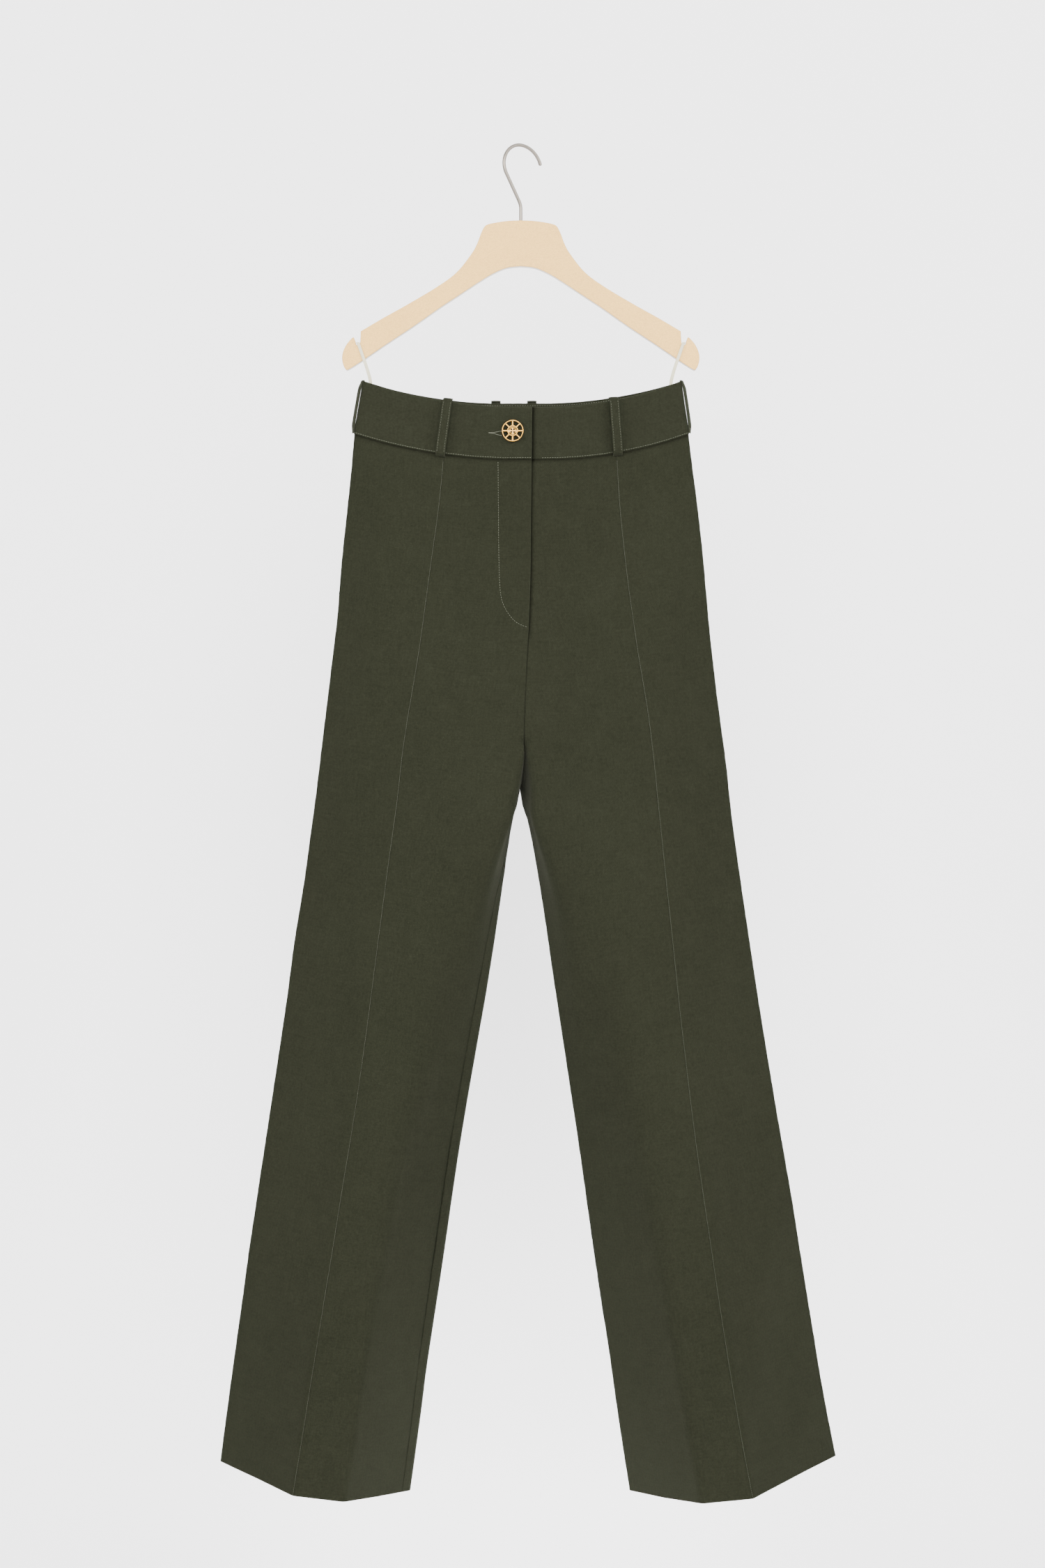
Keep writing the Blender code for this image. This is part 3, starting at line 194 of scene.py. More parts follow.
def mean_lengths_down(grid: Array) -> Array:
    """Distance down a grid to each row, by the mean length of the steps between rows."""
    steps = np.linalg.norm(np.diff(grid, axis=0), axis=-1).mean(axis=1)
    return np.concatenate(([0.0], np.cumsum(steps)))


def cloth_map(across: Array, along: Array) -> Array:
    """UV map of a grid: each point's distance across, and each row's distance along."""
    return np.stack(np.broadcast_arrays(across, along[:, None]), axis=-1)


def read_path(path: Array, distances: Array) -> Array:
    """Points of a path at the given distances from its start, by straight lines between its points."""
    run = lengths_along(path)
    return np.stack([np.interp(distances, run, path[:, axis]) for axis in range(path.shape[1])], axis=-1)


def rounded(corners: Sequence, cuts: Sequence[float], steps: int = 14) -> tuple[Array, list[int]]:
    """Polyline whose inner corners become quadratic arcs that start a cut's length away.

    Args:
        corners: the corner points.
        cuts: one length for each inner corner, held to 0.48 of the sides beside it.
        steps: points on each arc.

    Returns:
        The points, and the index of each corner's middle.
    """
    corners = np.asarray(corners, dtype=float)
    share = np.linspace(0.0, 1.0, steps)[:, None]
    points, middles = [corners[:1]], [0]
    for index in range(1, len(corners) - 1):
        before, corner, after = corners[index - 1:index + 2]
        back, ahead = before - corner, after - corner
        long_back, long_ahead = np.linalg.norm(back), np.linalg.norm(ahead)
        cut = min(cuts[index - 1], 0.48 * long_back, 0.48 * long_ahead)
        start = corner + back / max(long_back, 1e-9) * cut
        end = corner + ahead / max(long_ahead, 1e-9) * cut
        middles.append(sum(len(part) for part in points) + steps // 2)
        points.append((1 - share)**2 * start + 2 * share * (1 - share) * corner + share**2 * end)
    points.append(corners[-1:])
    return np.vstack(points), middles


def uneven(at: Array, seed: float, lengths: Sequence[float]) -> Array:
    """Uneven wave from -1 to 1: the mean of one sine for each length, each with its own start."""
    waves = [np.sin(2.0 * math.pi * at / length + seed * (3.1 + 1.7 * index))
             for index, length in enumerate(lengths)]
    return np.mean(waves, axis=0)


def roll(distance: Array, radius: float) -> Array:
    """How far a rounded edge lies below the face: a quarter circle of that radius, 0 further in."""
    left = radius - np.clip(distance, 0.0, radius)
    return radius - np.sqrt(np.maximum(radius**2 - left**2, 0.0))


NEAR_STOPS = np.array((0.0, 0.12, 0.3, 0.55, 0.9, 1.5, 2.4, 3.8, 5.6))


def edge_stops(length: float, count: int) -> Array:
    """Distances from 0 to length, close together at both ends and even between."""
    far = NEAR_STOPS[-1]
    middle = np.linspace(far, length - far, count)[1:-1]
    return np.concatenate((NEAR_STOPS, middle, length - NEAR_STOPS[::-1]))


def grid_normals(grid: Array, face: Face) -> Array:
    """Unit normals from the steps along rows and columns, turned to the side that the face looks to."""
    normals = unit(np.cross(np.gradient(grid, axis=1), np.gradient(grid, axis=0)))
    return normals * (1.0 if normals[..., 1].mean() * face.sign > 0 else -1.0)


# ---- meshes
def make_piece(name: str, points: Array, faces: Sequence[Array], finish: Material,
               uv: Array | None = None, edge: Array | None = None,
               sharp: float = 40.0, staged: bool = False) -> Piece:
    """Object at the origin from arrays, riding on the frame's root.

    Args:
        name: the object's name.
        points: (N, 3) in millimetres.
        faces: arrays of vertex numbers, each (M, corners).
        finish: its material.
        uv: (N, 2) in millimetres along the cloth.
        edge: (N,) painted edge light and shade: 0 to 1 a painted highlight along an edge, 0 to -1 painted
            shade along a groove.
        sharp: angle in degrees past which shading breaks.
        staged: part of the studio, so it rides on nothing.

    Returns:
        The object, linked to the scene.
    """
    points = np.asarray(points, dtype=float).reshape(-1, 3)
    mesh = bpy.data.meshes.new(name)
    mesh.vertices.add(len(points))
    mesh.vertices.foreach_set("co", (points * MM).ravel())
    corners = np.concatenate([np.asarray(part).ravel() for part in faces]).astype(np.int32)
    sizes = np.concatenate([np.full(len(part), part.shape[1]) for part in faces])
    mesh.loops.add(len(corners))
    mesh.loops.foreach_set("vertex_index", corners)
    mesh.polygons.add(len(sizes))
    mesh.polygons.foreach_set("loop_start", np.concatenate(([0], np.cumsum(sizes)[:-1])).astype(np.int32))
    mesh.update(calc_edges=True)
    if uv is not None:
        layer = mesh.uv_layers.new(name="cloth")
        layer.uv.foreach_set("vector", (np.asarray(uv).reshape(-1, 2)[corners] * MM).ravel())
    # Point attribute of painted edge light and shade: above 0 a painted highlight, below 0 painted shade.
    if edge is not None:
        mesh.attributes.new("painted_edge_light_shade", "FLOAT", "POINT").data.foreach_set("value", np.asarray(edge).ravel())
    mesh.validate()
    mesh.shade_smooth()
    mesh.set_sharp_from_angle(angle=math.radians(sharp))
    made = bpy.data.objects.new(name, mesh)
    made.data.materials.append(finish)
    bpy.context.scene.collection.objects.link(made)
    if not staged:
        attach(made, "root")
    return made


def grid_faces(rows: int, columns: int, start: int = 0, close: bool = False,
               loop: bool = False) -> Array:
    """Quads of a grid of points numbered row by row.

    Args:
        rows: rows of points.
        columns: columns of points.
        start: number of the first point.
        close: the last column meets the first.
        loop: the last row meets the first.

    Returns:
        (quads, 4) vertex numbers.
    """
    number = start + np.arange(rows * columns).reshape(rows, columns)
    if loop:
        number = np.concatenate((number, number[:1]))
    if close:
        number = np.concatenate((number, number[:, :1]), axis=1)
    corners = (number[:-1, :-1], number[1:, :-1], number[1:, 1:], number[:-1, 1:])
    return np.stack(corners, axis=-1).reshape(-1, 4)


def shell_faces(rows: int, columns: int) -> Array:
    """Quads of a closed wall: an outer grid, an inner one numbered after it, and the rim between."""
    outer = grid_faces(rows, columns)
    count = rows * columns
    number = np.arange(count).reshape(rows, columns)
    rim = np.concatenate((number[0, :-1], number[:-1, -1], number[-1, :0:-1], number[:0:-1, 0],
                          number[0, :1]))
    edge = np.stack((rim[:-1], rim[1:], rim[1:] + count, rim[:-1] + count), axis=-1)
    return np.concatenate((outer, outer[:, ::-1] + count, edge))


def make_shell(name: str, outer: Array, inner: Array, finish: Material,
               uv: Array, edge: Array | None = None) -> Piece:
    """Closed thin wall between two grids of points, its faces pointing out.

    Args:
        name: the object's name.
        outer: (rows, columns, 3) points of the outer face.
        inner: the same of the inner face.
        finish: its material.
        uv: UV map of the outer points.
        edge: their painted edge light and shade.

    Returns:
        The object.
    """
    rows, columns = outer.shape[:2]
    faces = shell_faces(rows, columns)
    down = outer[1:, :-1] - outer[:-1, :-1]
    across = outer[:-1, 1:] - outer[:-1, :-1]
    if np.sum(np.cross(down, across) * (outer - inner)[:-1, :-1]) < 0:
        faces = faces[:, ::-1]
    points = np.concatenate((outer.reshape(-1, 3), inner.reshape(-1, 3)))
    flat = uv.reshape(-1, 2)
    edges = None if edge is None else np.concatenate((edge.ravel(), edge.ravel()))
    return make_piece(name, points, [faces], finish, np.concatenate((flat, flat)), edges)


def make_tube(name: str, line: Array, radii: Array, sides: int,
              finish: Material) -> Piece:
    """Round tube along a line, its ends closed.

    Rings of the given radii stand square to the line; each ring's first direction is the last one's,
    made square to the line again, so the tube doesn't twist.

    Args:
        name: the object's name.
        line: (N, 3) centre line.
        radii: (N,) radius at each point.
        sides: points on a ring.
        finish: its material.

    Returns:
        The object.
    """
    along = unit(np.gradient(line, axis=0))
    side = np.zeros_like(line)
    side[0] = unit(np.cross(along[0], (0.31, 0.9, 0.3)))
    for index in range(1, len(line)):
        side[index] = unit(side[index - 1] - along[index] * np.dot(side[index - 1], along[index]))
    other = np.cross(along, side)
    turn = np.linspace(0.0, 2.0 * math.pi, sides, endpoint=False)[None, :, None]
    spokes = side[:, None] * np.cos(turn) + other[:, None] * np.sin(turn)
    rings = line[:, None] + radii[:, None, None] * spokes
    quads = grid_faces(len(line), sides, close=True)[:, ::-1]
    first = np.arange(sides)[None, :]
    last = (len(line) - 1) * sides + np.arange(sides)[None, ::-1]
    made = make_piece(name, rings, [quads, first[:, ::-1], last[:, ::-1]], finish)
    fix_normals(made)
    return made


def fix_normals(made: Piece) -> None:
    """Turn all faces of a closed mesh outwards."""
    shape = bmesh.new()
    shape.from_mesh(made.data)
    bmesh.ops.recalc_face_normals(shape, faces=shape.faces)
    shape.to_mesh(made.data)
    shape.free()


# ---- finishes
class Tree:
    """A node tree with short ways to add to it."""

    def __init__(self, tree: bpy.types.NodeTree) -> None:
        """Hold the tree."""
        self.tree = tree

    def add(self, kind: str, links: dict[int | str, object] | None = None,
            **values: object) -> Node:
        """Add a node, set its properties, and fill its inputs with links or values."""
        node = self.tree.nodes.new(kind)
        for key, value in values.items():
            setattr(node, key, value)
        self.fill(node, links or {})
        return node

    def fill(self, node: Node, links: dict[int | str, object]) -> None:
        """Fill a node's inputs, by name or number, with links or values."""
        for key, value in links.items():
            if isinstance(value, Socket):
                self.tree.links.new(value, node.inputs[key])
            else:
                node.inputs[key].default_value = value

    def math(self, operation: str, *values: object, **more: object) -> Socket:
        """A Math node's output."""
        return self.add("ShaderNodeMath", dict(enumerate(values)), operation=operation,
                        **more).outputs[0]

    def mix(self, share: Socket, low: object, high: object) -> Socket:
        """The colour that goes from low to high with a share."""
        return self.add("ShaderNodeMix", {0: share, 6: low, 7: high}, data_type="RGBA").outputs[2]


class Dressing(Tree):
    """The node tree of a new material, with its Principled shader."""

    def __init__(self, name: str) -> None:
        """Make the material."""
        self.material = bpy.data.materials.new(name)
        self.material.use_nodes = True
        super().__init__(self.material.node_tree)

    @property
    def shader(self) -> Node:
        """The Principled shader."""
        return self.tree.nodes["Principled BSDF"]

    def finish(self, **values: object) -> Material:
        """Fill the shader's sockets by name, with _ for a space, and give the material."""
        self.fill(self.shader, {key.replace("_", " "): value for key, value in values.items()})
        return self.material


class Group(Tree):
    """A shader node group being built."""

    def __init__(self, name: str, inputs: dict[str, tuple[str, object]], outputs: dict[str, str]) -> None:
        """Make the group's sockets.

        Args:
            name: the group's name.
            inputs: socket name to its type and its default.
            outputs: socket name to its type.
        """
        super().__init__(bpy.data.node_groups.new(name, "ShaderNodeTree"))
        for key, (kind, default) in inputs.items():
            socket = self.tree.interface.new_socket(key, in_out="INPUT", socket_type=kind)
            if default is not None:
                socket.default_value = default
        for key, kind in outputs.items():
            self.tree.interface.new_socket(key, in_out="OUTPUT", socket_type=kind)
        self.start = self.tree.nodes.new("NodeGroupInput")
        self.end = self.tree.nodes.new("NodeGroupOutput")

    def put(self, name: str, value: Socket) -> None:
        """Link a value to an output of the group."""
        self.fill(self.end, {name: value})


def weave_group() -> bpy.types.NodeTree:
    """Fine twill with slubs: height and shade over a surface, from a position in metres on the cloth.

    The height is a sine across the diagonal rib plus a cross-thread sine. The shade is noise drawn
    out along each of the two thread directions, so single thicker threads show a little lighter.
    """
    group = Group("twill_weave",
                  {"Vector": ("NodeSocketVector", None), "Rib": ("NodeSocketFloat", 0.0011),
                   "Slub": ("NodeSocketFloat", 0.5)},
                  {"Height": "NodeSocketFloat", "Shade": "NodeSocketFloat"})
    place = group.start.outputs["Vector"]
    parts = group.add("ShaderNodeSeparateXYZ", {0: place})
    turns = group.math("DIVIDE", 2.0 * math.pi, group.start.outputs["Rib"])
    diagonal = group.math("ADD", parts.outputs[0], group.math("MULTIPLY", parts.outputs[1], 0.55))
    rib = group.math("SINE", group.math("MULTIPLY", diagonal, turns))
    thread = group.math("SINE", group.math("MULTIPLY", parts.outputs[1], group.math("MULTIPLY", turns, 1.7)))
    height = group.math("ADD", group.math("MULTIPLY", rib, 0.35), group.math("MULTIPLY", thread, 0.15))
    shades = []
    for stretch in ((900.0, 32.0, 1.0), (26.0, 900.0, 1.0)):
        drawn = group.add("ShaderNodeVectorMath", {0: place, 1: stretch}, operation="MULTIPLY")
        noise = group.add("ShaderNodeTexNoise", {"Vector": drawn.outputs[0], "Scale": 1.0, "Detail": 2.0})
        shades.append(noise.outputs["Fac"])
    mean = group.math("MULTIPLY", group.math("ADD", shades[0], shades[1]), 0.5)
    slub = group.math("MULTIPLY", group.math("SUBTRACT", mean, 0.5), group.start.outputs["Slub"])
    group.put("Height", group.math("ADD", height, slub))
    group.put("Shade", group.math("ADD", slub, 0.5))
    return group.tree


# Each size of noise: how many times finer than the group's Size, its detail, its roughness, its weight.
CLOUD_LARGE = (1.0, 1.0, 0.5, 0.14)
CLOUD_SMALL = (7.0, 3.0, 0.5, 0.12)
CLOUD_NAP = (75.0, 3.0, 0.65, 0.60)
CLOUD_LIFT = 0.195


def cloud_group() -> bpy.types.NodeTree:
    """Slow change of tone over a surface, and its nap, from a position in metres.

    The shade is the sum of three noises, each times its weight, and a constant. Its mean is about 0.625.
    """
    group = Group("slow_cloud",
                  {"Vector": ("NodeSocketVector", None), "Size": ("NodeSocketFloat", 0.1)},
                  {"Shade": "NodeSocketFloat"})
    scale = group.math("DIVIDE", 1.0, group.start.outputs["Size"])
    parts = []
    for finer, detail, roughness, weight in (CLOUD_LARGE, CLOUD_SMALL, CLOUD_NAP):
        noise = group.add("ShaderNodeTexNoise", {
            "Vector": group.start.outputs["Vector"], "Scale": group.math("MULTIPLY", scale, finer),
            "Detail": detail, "Roughness": roughness})
        parts.append(group.math("MULTIPLY", noise.outputs["Fac"], weight))
    slow = group.math("ADD", group.math("ADD", parts[0], parts[1]), CLOUD_LIFT)
    group.put("Shade", group.math("ADD", slow, parts[2]))
    return group.tree


@dataclass(frozen=True)
class ClothFinish:
    """Matt woven cloth on a UV map in metres."""

    name: str
    dark: Triple
    light: Triple
    # colour of the painted highlight along edges
    edge: Triple
    rib: float = 0.0011
    slub: float = 0.5
    bump: float = 0.35
    bump_distance: float = 0.00025
    cloud: float = 0.16
    cloud_share: float = 1.5
    weave_share: float = 1.1
    weave_shift: float = -0.99
    # share of the dark colour that painted shade along edges goes down to
    groove: float = 0.25
    sheen: float = 0.045
    sheen_roughness: float = 0.5
    sheen_tint: Triple = (0.74, 0.76, 0.60)
    roughness: float = 0.9

    def build(self, weave: bpy.types.NodeTree, cloud: bpy.types.NodeTree) -> Material:
        """The material: weave shade and slow cloud, each times its share, mix dark and light.

        The painted edge attribute mixes towards the edge colour above 0, a painted highlight, and
        below 0 towards the dark colour times groove, painted shade.
        """
        look = Dressing(self.name)
        uv = look.add("ShaderNodeUVMap", uv_map="cloth")
        threads = look.add("ShaderNodeGroup", {"Rib": self.rib, "Slub": self.slub, "Vector": uv.outputs[0]},
                           node_tree=weave)
        where = look.add("ShaderNodeTexCoord")
        tone = look.add("ShaderNodeGroup", {"Size": self.cloud, "Vector": where.outputs["Object"]},
                        node_tree=cloud)
        spread = look.math("MULTIPLY_ADD", threads.outputs["Shade"], self.weave_share, self.weave_shift)
        share = look.math("MULTIPLY_ADD", tone.outputs["Shade"], self.cloud_share, spread)
        colour = look.mix(share, (*self.dark, 1.0), (*self.light, 1.0))
        # painted highlight above 0 and painted shade below 0, from the point attribute
        painted_edge_strength = look.add("ShaderNodeAttribute", attribute_name="painted_edge_light_shade").outputs["Fac"]
        colour = look.mix(painted_edge_strength, colour, (*self.edge, 1.0))
        sunk = look.math("MULTIPLY", painted_edge_strength, -1.0, use_clamp=True)
        colour = look.mix(sunk, colour, (*(self.groove * channel for channel in self.dark), 1.0))
        bump = look.add("ShaderNodeBump", {"Strength": self.bump, "Distance": self.bump_distance,
                                           "Height": threads.outputs["Height"]})
        return look.finish(Base_Color=colour, Normal=bump.outputs["Normal"], Roughness=self.roughness,
                           Sheen_Weight=self.sheen, Sheen_Roughness=self.sheen_roughness,
                           Sheen_Tint=(*self.sheen_tint, 1.0), Specular_IOR_Level=0.0)


@dataclass(frozen=True)
class GrainFinish:
    """Any other finish: a base colour with a noise that is drawn out along one direction."""

    name: str
    dark: Triple
    light: Triple
    stretch: Triple
    roughness: Pair
    metallic: float = 0.0
    bump: float = 0.1
    bump_distance: float = 0.0001
    cloud: float = 0.05
    sheen: float = 0.0
    contrast: float = 2.0

    def build(self, cloud: bpy.types.NodeTree) -> Material:
        """The material: stretched noise times its contrast mixes dark and light and moves roughness."""
        look = Dressing(self.name)
        place = look.add("ShaderNodeTexCoord").outputs["Object"]
        drawn = look.add("ShaderNodeMapping", {"Scale": self.stretch, "Vector": place})
        noise = look.add("ShaderNodeTexNoise", {"Scale": 1.0, "Detail": 4.0, "Vector": drawn.outputs[0]})
        grain = noise.outputs["Fac"]
        tone = look.add("ShaderNodeGroup", {"Size": self.cloud, "Vector": place}, node_tree=cloud)
        wide = look.add("ShaderNodeMapRange", {
            "Value": look.math("ADD", grain, tone.outputs["Shade"]),
            "From Min": 1.0 - 1.0 / self.contrast, "From Max": 1.0 + 1.0 / self.contrast}).outputs[0]
        rough = look.add("ShaderNodeMapRange", {"Value": wide, "To Min": self.roughness[0],
                                                "To Max": self.roughness[1]})
        bump = look.add("ShaderNodeBump", {"Strength": self.bump, "Distance": self.bump_distance,
                                           "Height": grain})
        return look.finish(Base_Color=look.mix(wide, (*self.dark, 1.0), (*self.light, 1.0)),
                           Roughness=rough.outputs[0], Normal=bump.outputs["Normal"],
                           Metallic=self.metallic, Sheen_Weight=self.sheen)


# ---- the form of one leg
@dataclass
class LegForm:
    """One leg with its half of the top, as closed sections in (outwards, y, down) millimetres.

    A section is a front path and a back path that both start at the pressed side edge. Their corners
    lie at shares of the section's depth; arcs round the corners, wide at the waist and tight at the hem.
    """

    side: Side
    band: bool = False
    crease_share: float = 0.68
    back_crease_share: float = 0.62
    edge_half: float = 3.0
    band_edge_half: float = 5.0

    def __post_init__(self) -> None:
        """Fit the table of sections to this leg's own length."""
        forms = SECTIONS.copy()
        first, last = forms[0, 0], forms[-1, 0]
        forms[:, 0] = first + (forms[:, 0] - first) * (HEM_SIDE_DOWN[self.side] - first) / (last - first)
        self.forms = np.stack((BAND_TOP, SECTIONS[0])) if self.band else forms
        self.reach = (np.stack((BAND_TOP_REACH[self.side], REACH[self.side][0])) if self.band
                      else REACH[self.side])

    def section(self, place: float) -> tuple[Array, float, Array]:
        """One section: wide and soft at the waist, pressed and tight at the hem.

        Args:
            place: row of the table, fractional between rows.

        Returns:
            Front path, distance along it of the long seam, and back path.
        """
        (side_down, meet_down, roll_down, aft_down, aft_roll_down, meet_y, aft_y, front, back, box,
         roll_cut, sag, soft) = curve_through(self.forms, [place])[0]
        side, seam, inner, meet, aft = curve_through(self.reach, [place])[0]
        is_leg = 0.0 if self.band else float(np.clip((place - FORK) / 2.0, 0.0, 1.0))
        low = float(np.clip((side_down - HEM_SPAN[0]) / HEM_SPAN[1], 0.0, 1.0))
        gain, seam_gain = DEPTH_GAIN[self.side]
        depth = front * (1.0 + gain * low)
        wide = 1.0 if self.band else float(np.clip(1.0 - place, 0.0, 1.0))
        edge = (self.edge_half + (self.band_edge_half - self.edge_half) * wide) * (0.65 + 0.35 * soft)
        crease_x = side + self.crease_share * (inner - side)
        seam_y = -depth * (0.98 - 0.16 * soft) * (1.0 + seam_gain * low)
        end = np.array((meet, meet_y))
        crease = np.array((crease_x, -depth * (1.0 - 0.05 * soft)))
        turn = (1 - box) * (crease + end) / 2 + box * np.array((inner, -0.94 * depth))
        last = (1 - is_leg) * (turn + end) / 2 + is_leg * np.array((meet, meet_y - edge))
        corners = ((side, 0.0), (side, -edge), ((side + seam) / 2.0, 0.5 * seam_y - 0.17 * depth * soft),
                   (seam, seam_y), crease, turn, last, end)
        loose = 4.0 + 60.0 * soft
        ahead, middles = rounded(corners, (edge, loose, loose, loose, roll_cut, edge))
        ahead = self._lay_down(ahead, middles[5], side_down, roll_down, meet_down, sag)
        seam_at = float(np.interp(-seam, -ahead[:middles[4], 0], lengths_along(ahead)[:middles[4]]))

        end = np.array((aft, aft_y))
        aft_x = side + self.back_crease_share * (inner - side)
        crease = np.array((aft_x, back))
        out = 2.0 + 4.5 * max(0.0, 1.0 - abs(place - FORK)) * (not self.band)
        turn = (1 - box) * (crease + end) / 2 + box * np.array((aft + out, 0.90 * back))
        last = (1 - is_leg) * (turn + end) / 2 + is_leg * np.array((aft, aft_y + edge))
        corners = ((side, 0.0), (side, edge), ((side + aft_x) / 2.0, back * (0.54 + 0.20 * soft)), crease,
                   turn, last, end)
        behind, middles = rounded(corners, (edge, loose, loose, roll_cut, edge))
        behind = self._lay_down(behind, middles[4], side_down, aft_roll_down, aft_down, sag)
        wrap = INSEAM_WRAP[self.side] * is_leg
        if wrap > 0.0:
            ahead, behind = self._wrap(ahead, behind, wrap)
        return ahead, seam_at, behind

    @staticmethod
    def _lay_down(path: Array, turn: int, side_down: float, turn_down: float, end_down: float,
                  sag: float) -> Array:
        """Third coordinate: a line sagging by 1 + sag (1 - share) to the turn, then straight to the end."""
        run = lengths_along(path)
        share = np.clip(run / run[turn], 0.0, 1.0)
        down = side_down + (turn_down - side_down) * share * (1.0 + sag * (1.0 - share))
        rest = np.clip((run - run[turn]) / max(run[-1] - run[turn], 1e-9), 0.0, 1.0)
        return np.column_stack((path, down + (end_down - turn_down) * rest))

    @staticmethod
    def _wrap(ahead: Array, behind: Array, wrap: float) -> tuple[Array, Array]:
        """Give the last stretch of the front path to the back path."""
        run = lengths_along(ahead)
        cut_at = run[-1] - wrap
        cut = read_path(ahead, np.array([cut_at]))
        kept, passed = ahead[run < cut_at - 1e-6], ahead[run > cut_at + 1e-6]
        return np.vstack((kept, cut)), np.vstack((behind, passed[::-1][1:], cut))

    def world(self, rows: Array) -> Array:
        """(outwards, y, down) to (x, y, z)."""
        return np.stack((self.side.sign * rows[..., 0], rows[..., 1], -rows[..., 2]), axis=-1)

    def place_at(self, downs: Array) -> Array:
        """Places in the table whose side edge lies at these distances down."""
        return np.interp(downs, self.forms[:, 0], np.arange(len(self.forms)))


# ---- relief of the cloth
@dataclass(frozen=True)
class Fold:
    """One soft fold: its middle, half length, half width, lean from upright in degrees, and height."""

    down: float
    across: float
    half_length: float
    half_width: float
    lean: float
    height: float

    def lift(self, down: Array, across: Array) -> Array:
        """Height times exp(-(run / half length)^2 - (off / half width)^2), in the fold's own axes."""
        lean = math.radians(self.lean)
        low, out = down - self.down, across - self.across
        run = low * math.cos(lean) + out * math.sin(lean)
        off = out * math.cos(lean) - low * math.sin(lean)
        return self.height * np.exp(-(run / self.half_length)**2 - (off / self.half_width)**2)


FOLDS = {
    (Side.LEFT, Face.FRONT): (
        Fold(430, 150, 120, 22, 4, 2.2), Fold(640, 176, 190, 24, 8, 2.6), Fold(1010, 118, 150, 30, 38, 2.2),
        Fold(612, 62, 55, 9, 66, 0.55), Fold(640, 88, 60, 11, 58, -0.5), Fold(905, 150, 90, 16, 34, 0.55),
        Fold(1180, 200, 120, 14, 12, 0.5), Fold(395, 120, 45, 9, -8, -0.35),
        Fold(760, 120, 110, 15, 24, -0.5)),
    (Side.RIGHT, Face.FRONT): (
        Fold(450, 160, 130, 22, -5, 2.0), Fold(860, 92, 170, 26, -32, -2.4),
        Fold(1200, 250, 120, 26, -10, 2.2), Fold(600, 70, 60, 10, -62, 0.5),
        Fold(668, 96, 70, 12, -54, -0.55), Fold(1010, 140, 110, 15, -28, 0.5),
        Fold(400, 130, 40, 9, 10, -0.3), Fold(1290, 160, 80, 13, -14, 0.45)),
    (Side.LEFT, Face.BACK): (
        Fold(640, 95, 110, 26, 52, -4.5), Fold(735, 110, 120, 24, 46, 4.0), Fold(430, 70, 95, 24, 14, 3.0),
        Fold(600, 70, 70, 11, 60, 1.3), Fold(690, 140, 80, 12, 40, -1.1), Fold(860, 130, 120, 20, 22, 1.6),
        Fold(1040, 150, 130, 17, -18, -1.2), Fold(1210, 190, 110, 18, 10, 1.1)),
    (Side.RIGHT, Face.BACK): (
        Fold(655, 100, 115, 26, -50, -4.2), Fold(760, 112, 110, 24, -44, 3.8),
        Fold(445, 78, 90, 24, -12, 2.8),
        Fold(610, 66, 62, 10, -64, 1.2), Fold(700, 135, 90, 13, -36, -1.0), Fold(900, 150, 110, 19, -16, 1.4),
        Fold(1090, 130, 140, 18, 20, -1.3), Fold(1250, 215, 90, 16, -8, 1.0)),
}
DARTS = {Side.LEFT: (92.0, 84.0), Side.RIGHT: (88.0, 80.0)}     # across at the waist, and at the end
DART_LENGTH = 105.0
OUTER_COLUMNS, INNER_COLUMNS, BACK_COLUMNS = 40, 52, 70


# ---- panels
@dataclass
class Surface:
    """A grid of surface points with its normals and its two running lengths, in millimetres."""

    points: Array
    normals: Array
    across: Array
    along: Array

    def read(self, rows: Array, columns: Array) -> tuple[Array, Array]:
        """Points and normals at fractional rows and columns, each the mean of four neighbours by nearness."""
        low_row = np.clip(np.floor(rows).astype(int), 0, self.points.shape[0] - 2)
        low_column = np.clip(np.floor(columns).astype(int), 0, self.points.shape[1] - 2)
        part_row = (rows - low_row)[:, None]
        part_column = (columns - low_column)[:, None]
        read = []
        for values in (self.points, self.normals):
            near = values[low_row, low_column]
            top = near * (1 - part_column) + values[low_row, low_column + 1] * part_column
            foot = values[low_row + 1, low_column] * (1 - part_column)
            foot = foot + values[low_row + 1, low_column + 1] * part_column
            read.append(top * (1 - part_row) + foot * part_row)
        return read[0], unit(read[1])

    def under(self, x: Array, z: Array) -> tuple[Array, Array]:
        """Points and normals seen straight from the front at x and z, on the nearest point's own plane."""
        ahead = self.normals[..., 1] < -0.2
        flat, normals = self.points[ahead], self.normals[ahead]
        away = (flat[None, :, 0] - x[:, None])**2 + (flat[None, :, 2] - z[:, None])**2
        near = np.argmin(away, axis=1)
        point, normal = flat[near], normals[near]
        y = point[:, 1] - (normal[:, 0] * (x - point[:, 0]) + normal[:, 2] * (z - point[:, 2])) / normal[:, 1]
        return np.column_stack((x, y, z)), normal


